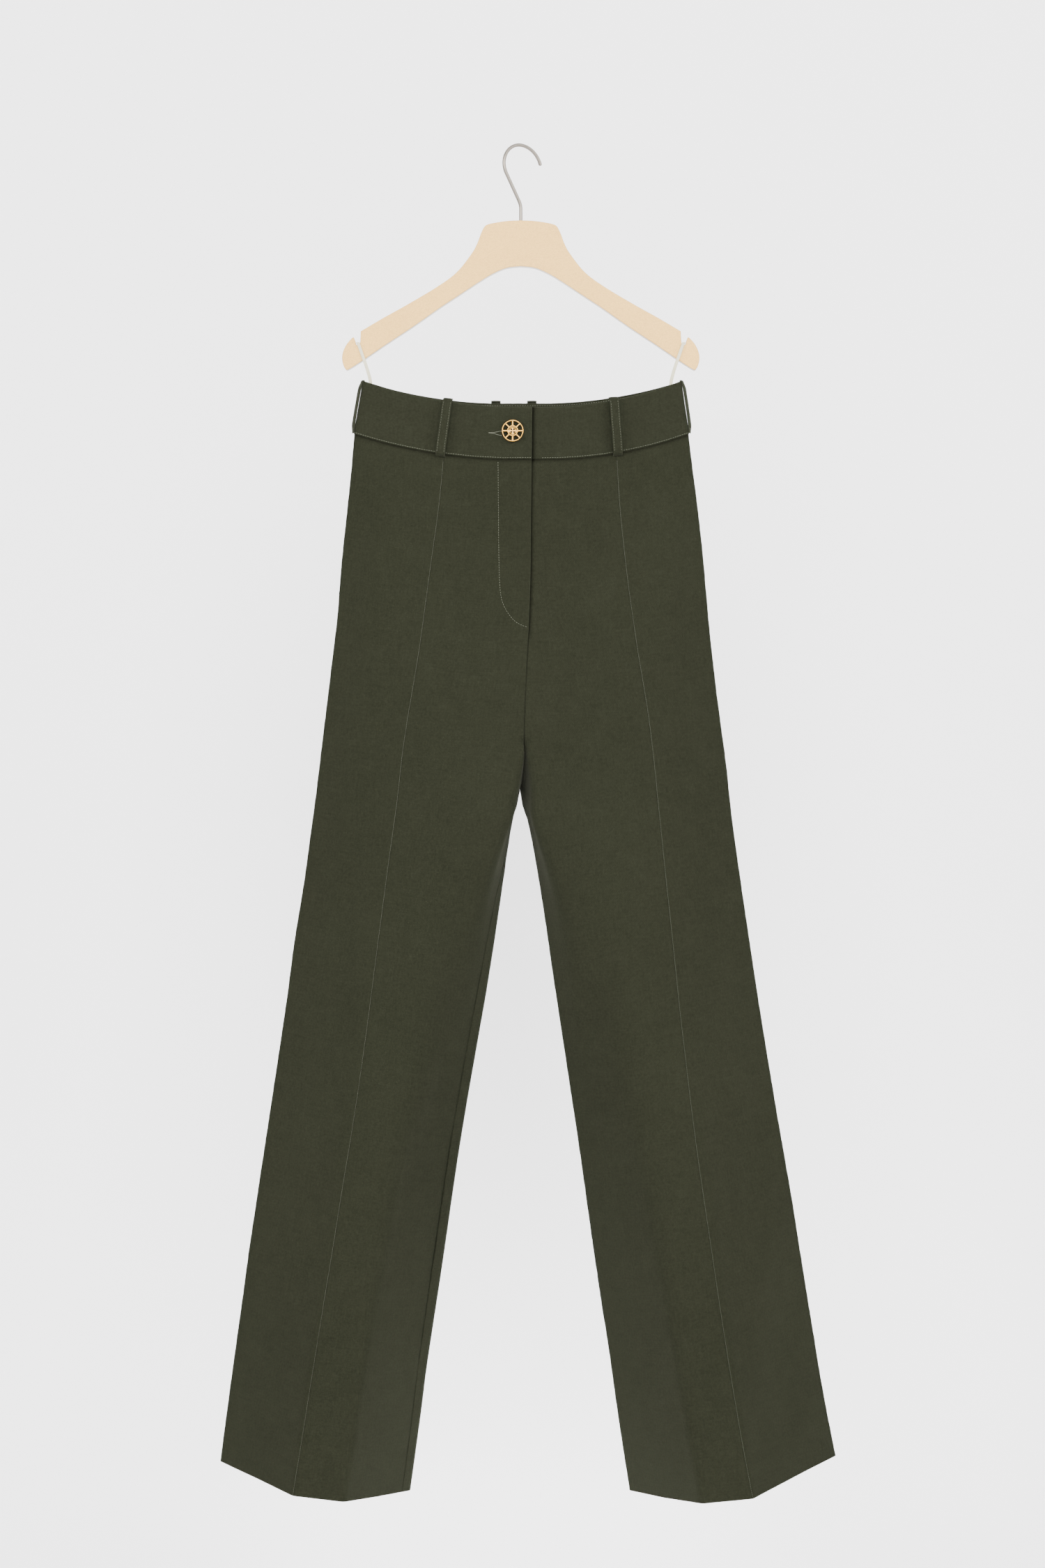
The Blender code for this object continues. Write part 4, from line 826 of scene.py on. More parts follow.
@dataclass
class TrouserHalf:
    """The three cut panels of one half and the pocket layer behind its mouth."""

    side: Side
    cloth: Material
    lining: Material
    rows: int = 250
    fold_clear: float = 25.0
    pucker_height: float = 0.20
    ripple_height: float = 0.30
    dart_depth: float = 0.5
    dart_fullness: float = 0.9
    fly_end: float = 2.74
    fly_set_in: float = 1.5
    fly_ease: float = 26.0
    pocket_rows: Pair = (1.12, 3.02)
    pocket_open: float = 3.3
    pocket_shut: float = 0.6
    hem_turn: float = 38.0
    hem_wall: float = 0.9
    under_reach: Triple = (3.2, 1.4, 0.03)
    under_clear: float = 0.35
    under_wall: float = 0.45
    # painted shade on the seam allowance columns that lie under the neighbour's wall
    allowance_painted_shade: float = -0.6
    bag_rows: Pair = (1.0, 3.5)
    bag_reach: Pair = (7.0, 82.0)
    bag_clear: float = 2.2
    bag_wall: float = 0.7

    def __post_init__(self) -> None:
        """Work out the sections at every row, closer together at the waist and the hem."""
        self.form = LegForm(self.side)
        first, last = self.form.forms[0, 0], self.form.forms[-1, 0]
        downs = np.concatenate((first + np.array((0.0, 0.3, 0.8, 1.6, 3.0, 5.0)),
                                np.linspace(first + 8.0, last - 4.0, self.rows),
                                last - np.array((2.2, 1.1, 0.5, 0.2, 0.0))))
        self.places = self.form.place_at(downs)
        self.sections = [self.form.section(place) for place in self.places]

    def gape(self) -> Array:
        """Opening of the pocket mouth at each row: the square root of a half sine between its ends."""
        first, last = self.pocket_rows
        mouth = np.clip((self.places - first) / (last - first), 0.0, 1.0)
        widest = self.pocket_open if self.side is Side.LEFT else self.pocket_shut
        return widest * np.sqrt(np.sin(math.pi * mouth).clip(0.0))

    def surface(self, stretch: Stretch, count: int) -> tuple[Surface, Array]:
        """One panel's smooth surface before its edges are rolled.

        Args:
            stretch: which panel.
            count: columns between its two edges.

        Returns:
            The surface, and each row's length.
        """
        gape = self.gape()
        rows, across, lengths = [], [], []
        for index, (ahead, seam_at, behind) in enumerate(self.sections):
            path = behind if stretch is Stretch.BACK else ahead
            total = lengths_along(path)[-1]
            start = {Stretch.FRONT_OUTER: gape[index], Stretch.FRONT_INNER: seam_at}.get(stretch, 0.0)
            end = seam_at if stretch is Stretch.FRONT_OUTER else total
            stops = edge_stops(end - start - 2 * SEAM_TRIM, count)
            rows.append(read_path(path, start + SEAM_TRIM + stops))
            across.append(stops)
            lengths.append(stops[-1])
        table = np.array(rows)
        points = self.form.world(table)
        face = Face.BACK if stretch is Stretch.BACK else Face.FRONT
        height = self.relief(stretch, face, table, np.array(across), np.array(lengths))
        points = points + self.facing(points, face) * height[..., None]
        along = mean_lengths_down(points)
        return Surface(points, self.facing(points, face), np.array(across), along), np.array(lengths)

    @staticmethod
    def facing(points: Array, face: Face) -> Array:
        """Unit normals of a panel, level along its top so that it meets the band squarely."""
        normals = grid_normals(points, face)
        normals[0, :, 2] = 0.0
        return unit(normals)

    def relief(self, stretch: Stretch, face: Face, table: Array, across: Array,
               lengths: Array) -> Array:
        """How far each point stands off its section: folds, seam puckers, the fly's step and the darts.

        Args:
            stretch: which panel.
            face: the side that it looks to.
            table: its points as (outwards, y, down).
            across: their distance from its first edge.
            lengths: each row's length.

        Returns:
            One height for each point.
        """
        down, out = table[..., 2], table[..., 0]
        height = sum(fold.lift(down, out) for fold in FOLDS[self.side, face])
        hold = smooth_step((down - 320.0) / 60.0)
        meeting = lengths[:, None] - across
        if stretch is not Stretch.FRONT_OUTER:
            hold = hold * smooth_step((meeting - self.fold_clear) / self.fold_clear)
        height = height * hold
        seed = 1.0 + 0.7 * list(Stretch).index(stretch) + (0.4 if self.side is Side.LEFT else 0.0)
        for away, turn in ((across, 0.0), (meeting, 1.3)):
            pucker = uneven(down + 6.0 * uneven(down, seed, (61.0, 143.0)), seed + turn, (11.0, 17.5, 29.0))
            height = height + self.pucker_height * np.exp(-(away / 7.0)**2) * pucker
        ripple = uneven(down + 0.35 * out, seed, (83.0, 131.0, 210.0)) * uneven(out, seed + 2.0, (47.0, 90.0))
        height = height + self.ripple_height * ripple * smooth_step((down - 330.0) / 80.0)
        if stretch is Stretch.BACK:
            start, end = DARTS[self.side]
            share = np.clip((down - WAIST_DOWN) / DART_LENGTH, 0.0, 1.0)
            off = out - (start + (end - start) * share)
            height = height - self.dart_depth * np.exp(-(off / 1.1)**2) * (1.0 - share)**0.5
            fullness = np.exp(-(off / 14.0)**2) * np.exp(-((share - 1.0) / 0.35)**2)
            height = height + self.dart_fullness * fullness
        if stretch is Stretch.FRONT_INNER and self.side is Side.RIGHT:
            near = 1.0 - smooth_step(meeting / self.fly_ease)
            fade = 1.0 - smooth_step((self.places - self.fly_end) / 0.4)
            height = height - self.fly_set_in * near * fade[:, None]
        return height

    def build_panel(self, stretch: Stretch, count: int) -> Piece:
        """One panel as a closed shell with rounded edges, its hem turned up inside."""
        surface, lengths = self.surface(stretch, count)
        radius = CLOTH / 2.0
        meeting = lengths[:, None] - surface.across
        from_hem = surface.along[-1] - surface.along
        left_radius, right_radius = self.edge_radii(stretch)
        sink = np.maximum(roll(surface.across, left_radius), roll(meeting, right_radius))
        sink = np.maximum(sink, roll(from_hem, radius)[:, None])
        thick = CLOTH + self.hem_wall * smooth_step((self.hem_turn - from_hem) / 1.5)[:, None]
        rise = np.maximum(roll(surface.across, radius), roll(meeting, radius))
        rise = np.maximum(rise, roll(from_hem, radius + 0.4)[:, None])
        outer = surface.points - surface.normals * sink[..., None]
        inner = surface.points - surface.normals * np.maximum(thick - rise * 0.98, sink + 0.02)[..., None]
        grids = (outer, inner, self.painted_edge_shading(stretch, surface, meeting),
                 cloth_map(surface.across, surface.along))
        if stretch is not Stretch.FRONT_OUTER:
            grids = self.add_seam(grids, stretch, surface, thick, lengths, True)
        if stretch is Stretch.BACK:
            grids = self.add_seam(grids, stretch, surface, thick, lengths, False)
        outer, inner, edge, uv = grids
        name = f"{stretch.value}_{self.side.value}"
        made = make_shell(f"cloth_{name}", outer, inner, self.cloth, uv, edge)
        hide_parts(name)
        return made

    def add_seam(self, grids: tuple[Array, ...], stretch: Stretch, surface: Surface,
                 thick: Array, lengths: Array, at_start: bool) -> tuple[Array, ...]:
        """Put the columns of one edge's seam allowance onto a panel's grids.

        Args:
            grids: the panel's outer wall, inner wall, painted edge light and shade, and UV map.
            stretch: which panel.
            surface: its surface.
            thick: its wall at each row.
            lengths: each row's length.
            at_start: the panel's first edge, else its last.

        Returns:
            The four grids with three more columns, which lie under the neighbour's wall.
        """
        low, reach = self.under_seam(stretch, surface, at_start)
        normal = surface.normals[:, :1] if at_start else surface.normals[:, -1:]
        clear_of_fork = 1.0 if at_start else smooth_step(self.places - FORK - 1.0)[:, None, None]
        deep = (thick + self.under_clear)[..., None] * (0.45 + 0.55 * clear_of_fork)
        past = -reach if at_start else reach + lengths[:, None]
        # the allowance columns carry painted shade
        more = (low - normal * deep, low - normal * (deep + self.under_wall),
                np.full(low.shape[:2], self.allowance_painted_shade), cloth_map(past, surface.along))
        return tuple(np.concatenate((new, old) if at_start else (old, new[:, ::-1]), axis=1)
                     for old, new in zip(grids, more))

    def under_seam(self, stretch: Stretch, surface: Surface,
                   at_start: bool) -> tuple[Array, Array]:
        """Seam allowance of one long edge, on the face's own level.

        It runs on along the section past the seam, less far in the pocket's mouth, and down to a
        twentieth of that at the fork.

        Args:
            stretch: which panel.
            surface: its surface, whose relief moves the allowance with the edge.
            at_start: the panel's first edge, else its last.

        Returns:
            The points, and how far each lies past the seam.
        """
        rows, reaches = [], []
        for place, opening, (ahead, seam_at, behind) in zip(self.places, self.gape(), self.sections):
            near = np.array(self.under_reach)
            if stretch is Stretch.FRONT_INNER:
                rows.append(read_path(ahead, seam_at - near))
            elif at_start:
                near = near * (1.0 if opening <= 0.0 else 0.12)
                rows.append(read_path(ahead, near))
            else:
                path = ahead if place > FORK + 1.0 else behind
                near = near * max(0.05, min(1.0, place - FORK - 1.0))
                rows.append(read_path(path[::-1], near))
            reaches.append(near)
        low = self.form.world(np.array(rows))
        ends = self.form.world(np.array([self.edge_point(stretch, at_start, section)
                                         for section in self.sections]))
        moved = surface.points[:, 0 if at_start else -1] - ends
        return low + moved[:, None], np.array(reaches)

    def edge_point(self, stretch: Stretch, at_start: bool,
                   section: tuple[Array, float, Array]) -> Array:
        """A panel's edge on one section, before its relief.

        Args:
            stretch: which panel, an inner front or a back.
            at_start: the panel's first edge, else its last.
            section: front path, place of the long seam on it, and back path.

        Returns:
            The point as (outwards, y, down).
        """
        ahead, seam_at, behind = section
        if stretch is Stretch.FRONT_INNER:
            return read_path(ahead, np.array((seam_at + SEAM_TRIM,)))[0]
        run = lengths_along(behind)[-1]
        return read_path(behind, np.array((SEAM_TRIM if at_start else run - SEAM_TRIM,)))[0]

    def painted_edge_shading(self, stretch: Stretch, surface: Surface, meeting: Array) -> Array:
        """Signed painted light and shade beside each edge: the sum of strengths times exp(-(distance /
        reach)^2).

        Painted shade darkens the waist edge under the band and the side, inseam and fly edges, widest on the
        right front beside the fly's overlap as a painted shadow; a painted highlight lightens the hem's fold,
        the outer panel's long edge and, faintly, the left front's fly edge.
        """
        across, along = surface.across, surface.along[:, None]
        painted_edge_strength = 0.75 + 0.25 * uneven(along, 2.0 + across[0, 0], (31.0, 57.0, 93.0))
        # painted shade under the band along the waist edge, painted highlight along the hem's fold
        tone = -0.60 * np.exp(-(along / 2.4)**2) + 0.30 * np.exp(-((along[-1] - along) / 0.7)**2)
        near, far = np.exp(-(across / 0.8)**2), np.exp(-(meeting / 0.8)**2)
        if stretch is Stretch.FRONT_OUTER:
            return tone + (-0.15 * near + 0.30 * np.exp(-(meeting / 0.4)**2)) * painted_edge_strength
        if stretch is Stretch.BACK:
            return tone + (-0.15 * near - 0.35 * far) * painted_edge_strength
        # painted shadow on the right front beside the fly's overlap; a faint painted highlight on the left
        # front's fly edge
        in_fly = 1.0 - smooth_step((self.places[:, None] - self.fly_end) / 0.15)
        under = 0.60 if self.side is Side.RIGHT else -0.10
        fly = -under * np.exp(-(meeting / (2.6 if self.side is Side.RIGHT else 0.6))**2)
        in_leg = smooth_step(self.places[:, None] - FORK)
        inseam = 0.40 * far + 0.40 * in_leg * np.exp(-(meeting / 1.6)**2)
        return tone - 0.30 * near * painted_edge_strength + in_fly * fly - (1.0 - in_fly) * inseam * painted_edge_strength

    def edge_radii(self, stretch: Stretch) -> Pair:
        """Radii of the groove at a panel's two long edges: tight at the long seam, full at the others."""
        if stretch is Stretch.FRONT_OUTER:
            return 0.5, 0.28
        if stretch is Stretch.FRONT_INNER:
            return 0.28, 0.5
        return 0.3, 0.5

    def build_bag(self) -> Piece:
        """Pocket layer behind the outer front: the front's own points, moved in."""
        places = np.linspace(*self.bag_rows, 40)
        stops = np.linspace(*self.bag_reach, 24)
        rows = np.array([read_path(self.form.section(place)[0], stops) for place in places])
        points = self.form.world(rows)
        normals = grid_normals(points, Face.FRONT)
        wave = 0.25 * uneven(rows[..., 2], 1.2, (37.0, 61.0)) * uneven(rows[..., 0], 0.4, (29.0, 53.0))
        points = points - normals * (CLOTH + self.bag_clear + wave)[..., None]
        along = mean_lengths_down(points)
        across = np.broadcast_to(stops, rows.shape[:2])
        name = f"pocket_bag_{self.side.value}"
        made = make_shell(f"cloth_{name}", points, points - normals * self.bag_wall, self.lining,
                          cloth_map(across, along))
        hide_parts(name)
        return made

    def build(self) -> list[Piece]:
        """All panels of this half."""
        return [self.build_panel(Stretch.FRONT_OUTER, OUTER_COLUMNS),
                self.build_panel(Stretch.FRONT_INNER, INNER_COLUMNS),
                self.build_panel(Stretch.BACK, BACK_COLUMNS), self.build_bag()]


# ---- stitches
@dataclass(frozen=True)
class Seamstress:
    """Rows of raised stitches, each a small capsule that dips into the cloth at both ends."""

    thread: Material
    rings: int = 5
    sides: int = 6

    def along(self, points: Array, normals: Array, pitch: float, length: float,
              radius: float) -> Array:
        """Points of all stitches on a line.

        Each stitch's centre line runs along the line's direction, at a height of
        radius times (1 - 1.4 s^2), and its radius is radius times sqrt(1 - 0.85 s^4), s from -1 to 1.

        Args:
            points: the line.
            normals: the cloth's normals along it.
            pitch: distance between stitches.
            length: length of one stitch.
            radius: the thread's radius.

        Returns:
            (stitches, rings, sides, 3).
        """
        run = lengths_along(points)
        count = max(2, int(run[-1] / pitch))
        middles = (np.arange(count) + 0.5) * run[-1] / count
        centre = read_path(points, middles)
        ahead = unit(read_path(points, middles + 0.3) - read_path(points, middles - 0.3))
        normal = np.stack([np.interp(middles, run, normals[:, axis]) for axis in range(3)], axis=-1)
        normal = unit(normal - ahead * np.sum(normal * ahead, axis=1, keepdims=True))
        beside = np.cross(ahead, normal)
        share = np.linspace(-1.0, 1.0, self.rings)
        size = radius * np.sqrt(1.0 - 0.85 * share**4)
        rise = radius * (1.0 - 1.4 * share**2)
        turn = np.linspace(0.0, 2.0 * math.pi, self.sides, endpoint=False)
        spine = centre[:, None] + ahead[:, None] * (share * length / 2.0)[None, :, None]
        spine = spine + normal[:, None] * rise[None, :, None]
        ring = normal[:, None, None] * np.sin(turn)[None, None, :, None]
        ring = ring + beside[:, None, None] * np.cos(turn)[None, None, :, None]
        return spine[:, :, None] + ring * size[None, :, None, None]

    def sew(self, name: str, runs: Sequence[Array]) -> Piece:
        """One object of many stitches.

        Args:
            name: the object's name.
            runs: rows of stitches from along().

        Returns:
            The object.
        """
        points = np.concatenate(runs)
        block = self.rings * self.sides
        quads = grid_faces(self.rings, self.sides, close=True)
        ends = np.stack((np.arange(self.sides)[::-1], (self.rings - 1) * self.sides + np.arange(self.sides)))
        starts = (np.arange(len(points)) * block)[:, None, None]
        faces = [(quads[None] + starts).reshape(-1, 4), (ends[None] + starts).reshape(-1, self.sides)]
        made = make_piece(name, points, faces, self.thread, sharp=180.0)
        fix_normals(made)
        return made


# ---- waistband
@dataclass
class Waistband:
    """Both halves of the waistband; the right one runs on under the left one's end."""

    cloth: Material
    underlap: float = 46.0
    set_in: float = 2.8
    ease: float = 24.0
    slant: float = 0.5
    columns: int = 74

    def __post_init__(self) -> None:
        """Work out both rings of the band."""
        self.places = np.concatenate((
            (0.0, 0.002, 0.006, 0.013, 0.022, 0.035), np.linspace(0.06, 0.94, 18),
            (0.962, 0.974, 0.984, 0.991, 0.996, 1.0)))
        self.forms = {side: LegForm(side, band=True) for side in Side}
        self.rings = {side: self._ring(side) for side in Side}
        self.outer: dict[Side, Surface] = {}
        self.cover = 0     # column of the right half where the left half's end lies

    def _ring(self, side: Side) -> tuple[Array, Array]:
        """Points and level outward normals of one half, from its front end round the side to the back."""
        rows = []
        for place in self.places:
            ahead, _, behind = self.forms[side].section(place)
            front = read_path(ahead, edge_stops(lengths_along(ahead)[-1] - 2 * SEAM_TRIM, self.columns))
            rear = read_path(behind, edge_stops(lengths_along(behind)[-1] - SEAM_TRIM, self.columns))
            rows.append(np.vstack((front[::-1], rear[1:])))
        points = self.forms[side].world(np.array(rows))
        normals = np.cross(np.gradient(points, axis=1), np.gradient(points, axis=0))
        normals[..., 2] = 0.0
        normals = unit(normals)
        front_y = normals[:, :self.columns, 1].mean()
        return points, normals * (-1.0 if front_y > 0 else 1.0)

    def build(self) -> list[Piece]:
        """Both halves as rounded folded walls; the right one's underlap follows the left one's ring."""
        left, left_out = self.rings[Side.LEFT]
        right, right_out = self.rings[Side.RIGHT]
        lapped = slice(1, int(np.sum(lengths_along(left[-1]) < self.underlap)) + 1, 2)
        grid = np.concatenate((left[:, lapped][:, ::-1], right), axis=1)
        out = np.concatenate((left_out[:, lapped][:, ::-1], right_out), axis=1)
        self.cover = grid.shape[1] - right.shape[1]
        away = np.linalg.norm(grid - right[:, :1], axis=2)
        sunk = 1.0 - smooth_step((away - 3.0) / self.ease)
        sunk[:, :self.cover] = 1.0
        sunk[:, self.cover + self.columns:] = 0.0
        return [self._half(Side.LEFT, left + left_out * BAND_PROUD, left_out),
                self._half(Side.RIGHT, grid + out * (BAND_PROUD - self.set_in * sunk)[..., None], out)]

    def _half(self, side: Side, points: Array, out: Array) -> Piece:
        """One half: gentle waves, rounded top fold, ends and lower edge.

        The inner face slants across the centre back by slant times exp(-(distance / 0.6)), which
        closes the gap between the two halves to the light.
        """
        steps = np.linalg.norm(np.diff(points, axis=1), axis=-1)
        across = np.concatenate((np.zeros((len(points), 1)), np.cumsum(steps, axis=1)), axis=1)
        along = mean_lengths_down(points)
        seed = 1.4 if side is Side.LEFT else 2.3
        low = along[-1] - along
        wave = 0.22 * uneven(across, seed, (57.0, 91.0, 149.0))
        wave = wave * np.sin(math.pi * along / along[-1])[:, None]
        pull = 0.10 * np.exp(-((low - 1.6) / 1.1)**2)[:, None]
        wave = wave + pull * uneven(across, seed, (8.0, 13.0, 21.0))
        wave = wave - 0.16 * np.exp(-((low - 1.6) / 0.8)**2)[:, None]
        points = points + out * wave[..., None]
        self.outer[side] = Surface(points, out, across, along)
        radius = BAND_WALL / 2.0
        sink = np.maximum(roll(along, radius)[:, None], roll(low, 0.6)[:, None])
        fly_end = across if side is Side.LEFT else np.full_like(across, 99.0)
        sink = np.maximum(sink, np.maximum(roll(fly_end, 0.8), roll(across[:, -1:] - across, 0.12)))
        rise = np.maximum(roll(along, radius)[:, None], np.minimum(roll(fly_end, 0.6), radius))
        outer = points - out * sink[..., None]
        inner = points - out * np.maximum(BAND_WALL - rise * 0.98, sink + 0.02)[..., None]
        slant = self.slant * side.sign * np.exp(-(across[:, -1:] - across) / 0.6)
        inner = inner + unit(points[:, -1:] - points[:, -4:-3]) * slant[..., None]
        # Painted light and shade on the band: painted highlight on the top fold and the left half's end,
        # painted shade along the lower edge, and a painted shadow on the right half beside the left half's
        # end.
        edge = 0.12 * np.exp(-(along / 1.2)**2)[:, None] - 0.30 * np.exp(-(low / 0.6)**2)[:, None]
        edge = np.broadcast_to(edge, across.shape).copy()
        if side is Side.RIGHT:
            past = across - across[:, self.cover:self.cover + 1]
            edge -= 0.85 * np.exp(-(past / 2.6)**2)
        else:
            edge += 0.10 * np.exp(-(across / 0.7)**2)
        made = make_shell(f"cloth_waistband_{side.value}", outer, inner, self.cloth,
                          cloth_map(across, along), edge)
        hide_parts(f"waistband_{side.value}")
        return made

    def stitch_runs(self, needle: Seamstress) -> list[Array]:
        """Topstitch above the lower edge all round, and one under the top edge inside."""
        runs = []
        for side, surface in self.outer.items():
            row = np.interp(surface.along[-1] - 1.6, surface.along, np.arange(len(surface.along)))
            first = 0 if side is Side.LEFT else int(np.argmin(surface.across[0] < self.underlap + 0.8))
            columns = np.arange(first + 2, surface.points.shape[1] - 2, dtype=float)
            points, normals = surface.read(np.full(len(columns), row), columns)
            runs.append(needle.along(points, normals, TOPSTITCH_PITCH, 1.8, 0.16))
            row = np.interp(TOPSTITCH_PITCH, surface.along, np.arange(len(surface.along)))
            points, normals = surface.read(np.full(len(columns), row), columns)
            runs.append(needle.along(points - normals * BAND_WALL, -normals, TOPSTITCH_PITCH, 1.8, 0.17))
        return runs


# ---- belt loops
@dataclass
class BeltLoops:
    """Six narrow strips that stand off the band and return into it at both ends."""

    band: Waistband
    cloth: Material
    width: float = 10.0
    wall: float = 1.6
    gap: float = 5.6
    side_gap: float = 0.6
    side_turn: float = -15.0
    side_flatness: float = 2.2
    side_walls: Pair = (0.3, 1.3)
    stitch_in: float = 1.3
    steps: int = 52

    def spot(self, side: Side, face: Face, across: float, at: float) -> tuple[Array, Array]:
        """A place on the band.

        Args:
            side: which half.
            face: front or back.
            across: distance outwards from the hook's axis.
            at: share up the band, from its lower edge.

        Returns:
            The point and its level outward normal.
        """
        form = self.band.forms[side]
        ahead, _, behind = form.section(1.0 - at)
        path = ahead if face is Face.FRONT else behind
        distance = float(np.interp(-across, -path[:, 0], lengths_along(path)))
        near = read_path(path, np.array((distance - 2.0, distance, distance + 2.0)))
        step = form.world(near)[2] - form.world(near)[0]
        normal = unit(np.array((step[1], -step[0], 0.0)))
        return form.world(near)[1], normal * (1.0 if normal[1] * face.sign > 0 else -1.0)

    def strip(self, name: str, centres: Array, normals: Array, gap: float,
              flatness: float = 8.0, walls: Pair = (1.0, 1.0)) -> list[Array]:
        """One loop along a line.

        It rises by gap times sqrt(1 - |2 s - 1|^flatness) along its length, and its edges are rounded.

        Args:
            name: the node that it stands for.
            centres: points along its middle, on the band.
            normals: outward normals there.
            gap: how far its middle stands off the band.
            flatness: the power in the rise; a higher one stays flat for longer.
            walls: shares of its wall at its ends and from a sixth of the way in.

        Returns:
            The runs of stitches beside its two edges, as (points, normals).
        """
        share = np.linspace(0.0, 1.0, len(centres))
        rise = SEAM_GAP + gap * np.sqrt(1.0 - np.abs(2.0 * share - 1.0)**flatness)
        middle = centres + normals * rise[:, None]
        along = unit(np.gradient(middle, axis=0))
        across = unit(np.cross(along, normals))
        proud = np.cross(across, along)
        proud *= np.sign(np.sum(proud * normals, axis=1))[:, None]
        half = self.width / 2.0
        right_half = np.array((1.2, 2.6, 3.7, 4.3, 4.7, 4.9, 5.0)) / 5.0 * half
        offsets = np.concatenate((-right_half[::-1], (0.0,), right_half))
        from_edge = half - np.abs(offsets)
        sink = roll(from_edge, self.wall / 2.0)
        dip = 0.18 * np.exp(-((from_edge - self.stitch_in) / 0.6)**2)
        under = middle[:, None] + across[:, None] * offsets[None, :, None]
        way_in = smooth_step(np.minimum(share, 1.0 - share) * 6.0)[:, None, None]
        full = walls[0] + (walls[1] - walls[0]) * way_in
        outer = under + full * proud[:, None] * (self.wall - sink - dip)[None, :, None]
        inner = under + full * proud[:, None] * np.minimum(sink * 0.98, self.wall / 2.0 - 0.02)[None, :, None]
        run = lengths_along(middle)
        # painted highlight along the loop's two long edges
        edge = np.broadcast_to(np.exp(-(from_edge / 0.8)**2) * 0.2, outer.shape[:2])
        made = make_shell(f"cloth_{name}", outer, inner, self.cloth,
                          cloth_map(offsets[None, :] + half, run), edge)
        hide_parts(name)
        face = middle + proud * (self.wall - 0.16)
        shifts = (self.stitch_in - half, half - self.stitch_in)
        return [(face + across * shift, proud) for shift in shifts]

    def build(self, needle: Seamstress) -> list[Array]:
        """All six loops; returns their runs of stitches."""
        places = {
            "loop_front_left": (Side.LEFT, Face.FRONT, 83.2, 75.6),
            "loop_front_right": (Side.RIGHT, Face.FRONT, 101.5, 97.2),
            "loop_back_left": (Side.LEFT, Face.BACK, 26.2, 26.2),
            "loop_back_right": (Side.RIGHT, Face.BACK, 12.2, 12.2),
        }
        spots = np.linspace(1.03, -0.03, self.steps)
        lines = []
        for name, (side, face, low, high) in places.items():
            top, out_top = self.spot(side, face, high, 1.0)
            foot, out_foot = self.spot(side, face, low, 0.0)
            middle, _ = self.spot(side, face, (low + high) / 2.0, 0.5)
            normal = unit(out_top + out_foot)
            bow = middle - (top + foot) / 2.0
            centres = foot + (top - foot) * spots[:, None] + bow * (1.0 - (2.0 * spots - 1.0)**2)[:, None]
            normals = np.tile(normal, (self.steps, 1))
            lines += self.strip(name, centres + normals * (BAND_PROUD + 0.15), normals, self.gap)
        for side in Side:
            form = self.band.forms[side]
            turn = math.radians(self.side_turn)
            normals = np.tile((side.sign * math.cos(turn), math.sin(turn), 0.0), (self.steps, 1))
            top = np.array((side.sign * form.reach[0][0], 0.0, -form.forms[0][0]))
            foot = np.array((side.sign * form.reach[1][0], 0.0, -form.forms[1][0]))
            side_spots = np.linspace(0.99, 0.0, self.steps)
            centres = foot + (top - foot) * side_spots[:, None] + normals * (BAND_PROUD + 0.15)
            lines += self.strip(f"loop_side_{side.value}", centres, normals, self.side_gap,
                                self.side_flatness, self.side_walls)
        return [needle.along(points[3:-3], normals[3:-3], TOPSTITCH_PITCH, 1.7, 0.10)
                for points, normals in lines]


